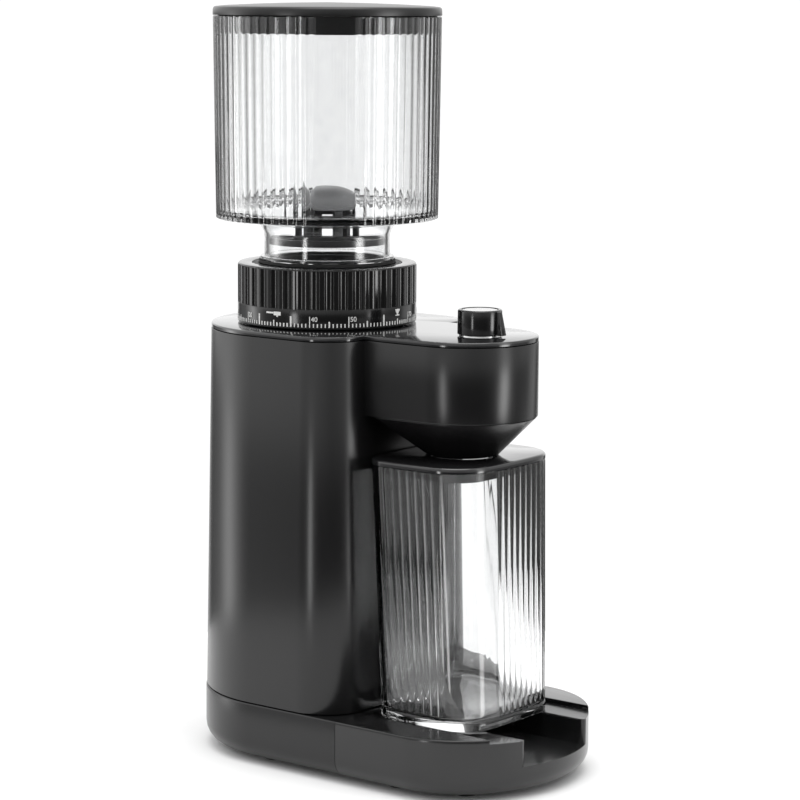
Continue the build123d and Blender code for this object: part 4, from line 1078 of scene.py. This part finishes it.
# %% Sky helpers
world = bpy.data.worlds.new("studio")
bpy.context.scene.world = world
world.use_nodes = True
nodes, links = world.node_tree.nodes, world.node_tree.links
nodes.clear()
place = nodes.new("ShaderNodeTexCoord")
split = nodes.new("ShaderNodeSeparateXYZ")
links.new(place.outputs["Generated"], split.inputs["Vector"])
flip = nodes.new("ShaderNodeMath")
flip.operation = "MULTIPLY"
flip.inputs[1].default_value = -1.0
links.new(split.outputs["Y"], flip.inputs[0])
bearing = nodes.new("ShaderNodeMath")
bearing.operation = "ARCTAN2"
links.new(split.outputs["X"], bearing.inputs[0])
links.new(flip.outputs[0], bearing.inputs[1])
share = nodes.new("ShaderNodeMapRange")
share.inputs["From Min"].default_value = -pi
share.inputs["From Max"].default_value = pi
links.new(bearing.outputs[0], share.inputs["Value"])


def zone_ramp(zones):
    """Ramp of brightness round the studio."""
    ramp = nodes.new("ShaderNodeValToRGB")
    stops = ramp.color_ramp.elements
    while len(stops) > 1:
        stops.remove(stops[-1])
    for azimuth, level in zones:
        position = (azimuth + 180) / 360
        stop = stops[0] if azimuth == -180 else stops.new(position)
        stop.position = position
        stop.color = (*[level / BRIGHTEST] * 3, 1)
    links.new(share.outputs["Result"], ramp.inputs["Fac"])
    return ramp.outputs["Color"]


def blend(first, second, heights):
    """Cross-fade between two colours by the height of the direction."""
    height = nodes.new("ShaderNodeMapRange")
    height.interpolation_type = "SMOOTHSTEP"
    height.inputs["From Min"].default_value, height.inputs["From Max"].default_value = heights
    links.new(split.outputs["Z"], height.inputs["Value"])
    mix = nodes.new("ShaderNodeMix")
    mix.data_type = "RGBA"
    links.new(height.outputs["Result"], mix.inputs["Factor"])
    for colour, socket in ((first, mix.inputs[6]), (second, mix.inputs[7])):
        if isinstance(colour, float):
            socket.default_value = (*[colour / BRIGHTEST] * 3, 1)
        else:
            links.new(colour, socket)
    return mix.outputs[2]


# %% Studio sky
walls = blend(zone_ramp(LOW), zone_ramp(HIGH), HORIZON)
walls = blend(UNDERFOOT, walls, GROUND)
sky = blend(walls, OVERHEAD, CEILING)
studio = nodes.new("ShaderNodeBackground")
studio.inputs["Strength"].default_value = BRIGHTEST
links.new(sky, studio.inputs["Color"])
plain = nodes.new("ShaderNodeBackground")
plain.inputs["Color"].default_value = (1, 1, 1, 1)
plain.inputs["Strength"].default_value = 1.05
rays = nodes.new("ShaderNodeLightPath")
choice = nodes.new("ShaderNodeMixShader")
links.new(rays.outputs["Is Camera Ray"], choice.inputs["Fac"])
links.new(studio.outputs["Background"], choice.inputs[1])
links.new(plain.outputs["Background"], choice.inputs[2])
output = nodes.new("ShaderNodeOutputWorld")
links.new(choice.outputs["Shader"], output.inputs["Surface"])
print(len(nodes), "sky nodes")

# %% [markdown]
# One large disc lamp overhead lights the tops and the floor and keeps the shadow soft.

# %% Lamp
overhead = bpy.data.lights.new("overhead", "AREA")
overhead.shape, overhead.size, overhead.energy = "DISK", 1.2, 9.0
lamp = bpy.data.objects.new("overhead", overhead)
lamp.location = (-0.3, -0.3, 1.6)
bpy.context.collection.objects.link(lamp)
print("lamp", overhead.energy, "W")

# %% [markdown]
# The camera stands to the left of the front, a little above the top of the column, with a long
# lens, so upright lines stay nearly parallel.

# %% Camera
camera = bpy.data.cameras.new("camera")
camera.sensor_width, camera.lens = 36.0, 125.28
viewer = bpy.data.objects.new("camera", camera)
compass, tilt, roll = radians(-52.2), radians(8.31), radians(0.31)
forward = Vector((-sin(compass) * cos(tilt), cos(compass) * cos(tilt), -sin(tilt)))
viewer.location = (-1.19133, -0.92825, 0.41997)
turn = forward.to_track_quat("-Z", "Y").to_matrix().to_4x4() @ Matrix.Rotation(roll, 4, "Z")
viewer.rotation_euler = turn.to_euler()
bpy.context.collection.objects.link(viewer)
bpy.context.scene.camera = viewer
bpy.context.scene.view_settings.view_transform = "Standard"

print("camera", [round(value, 3) for value in viewer.location])
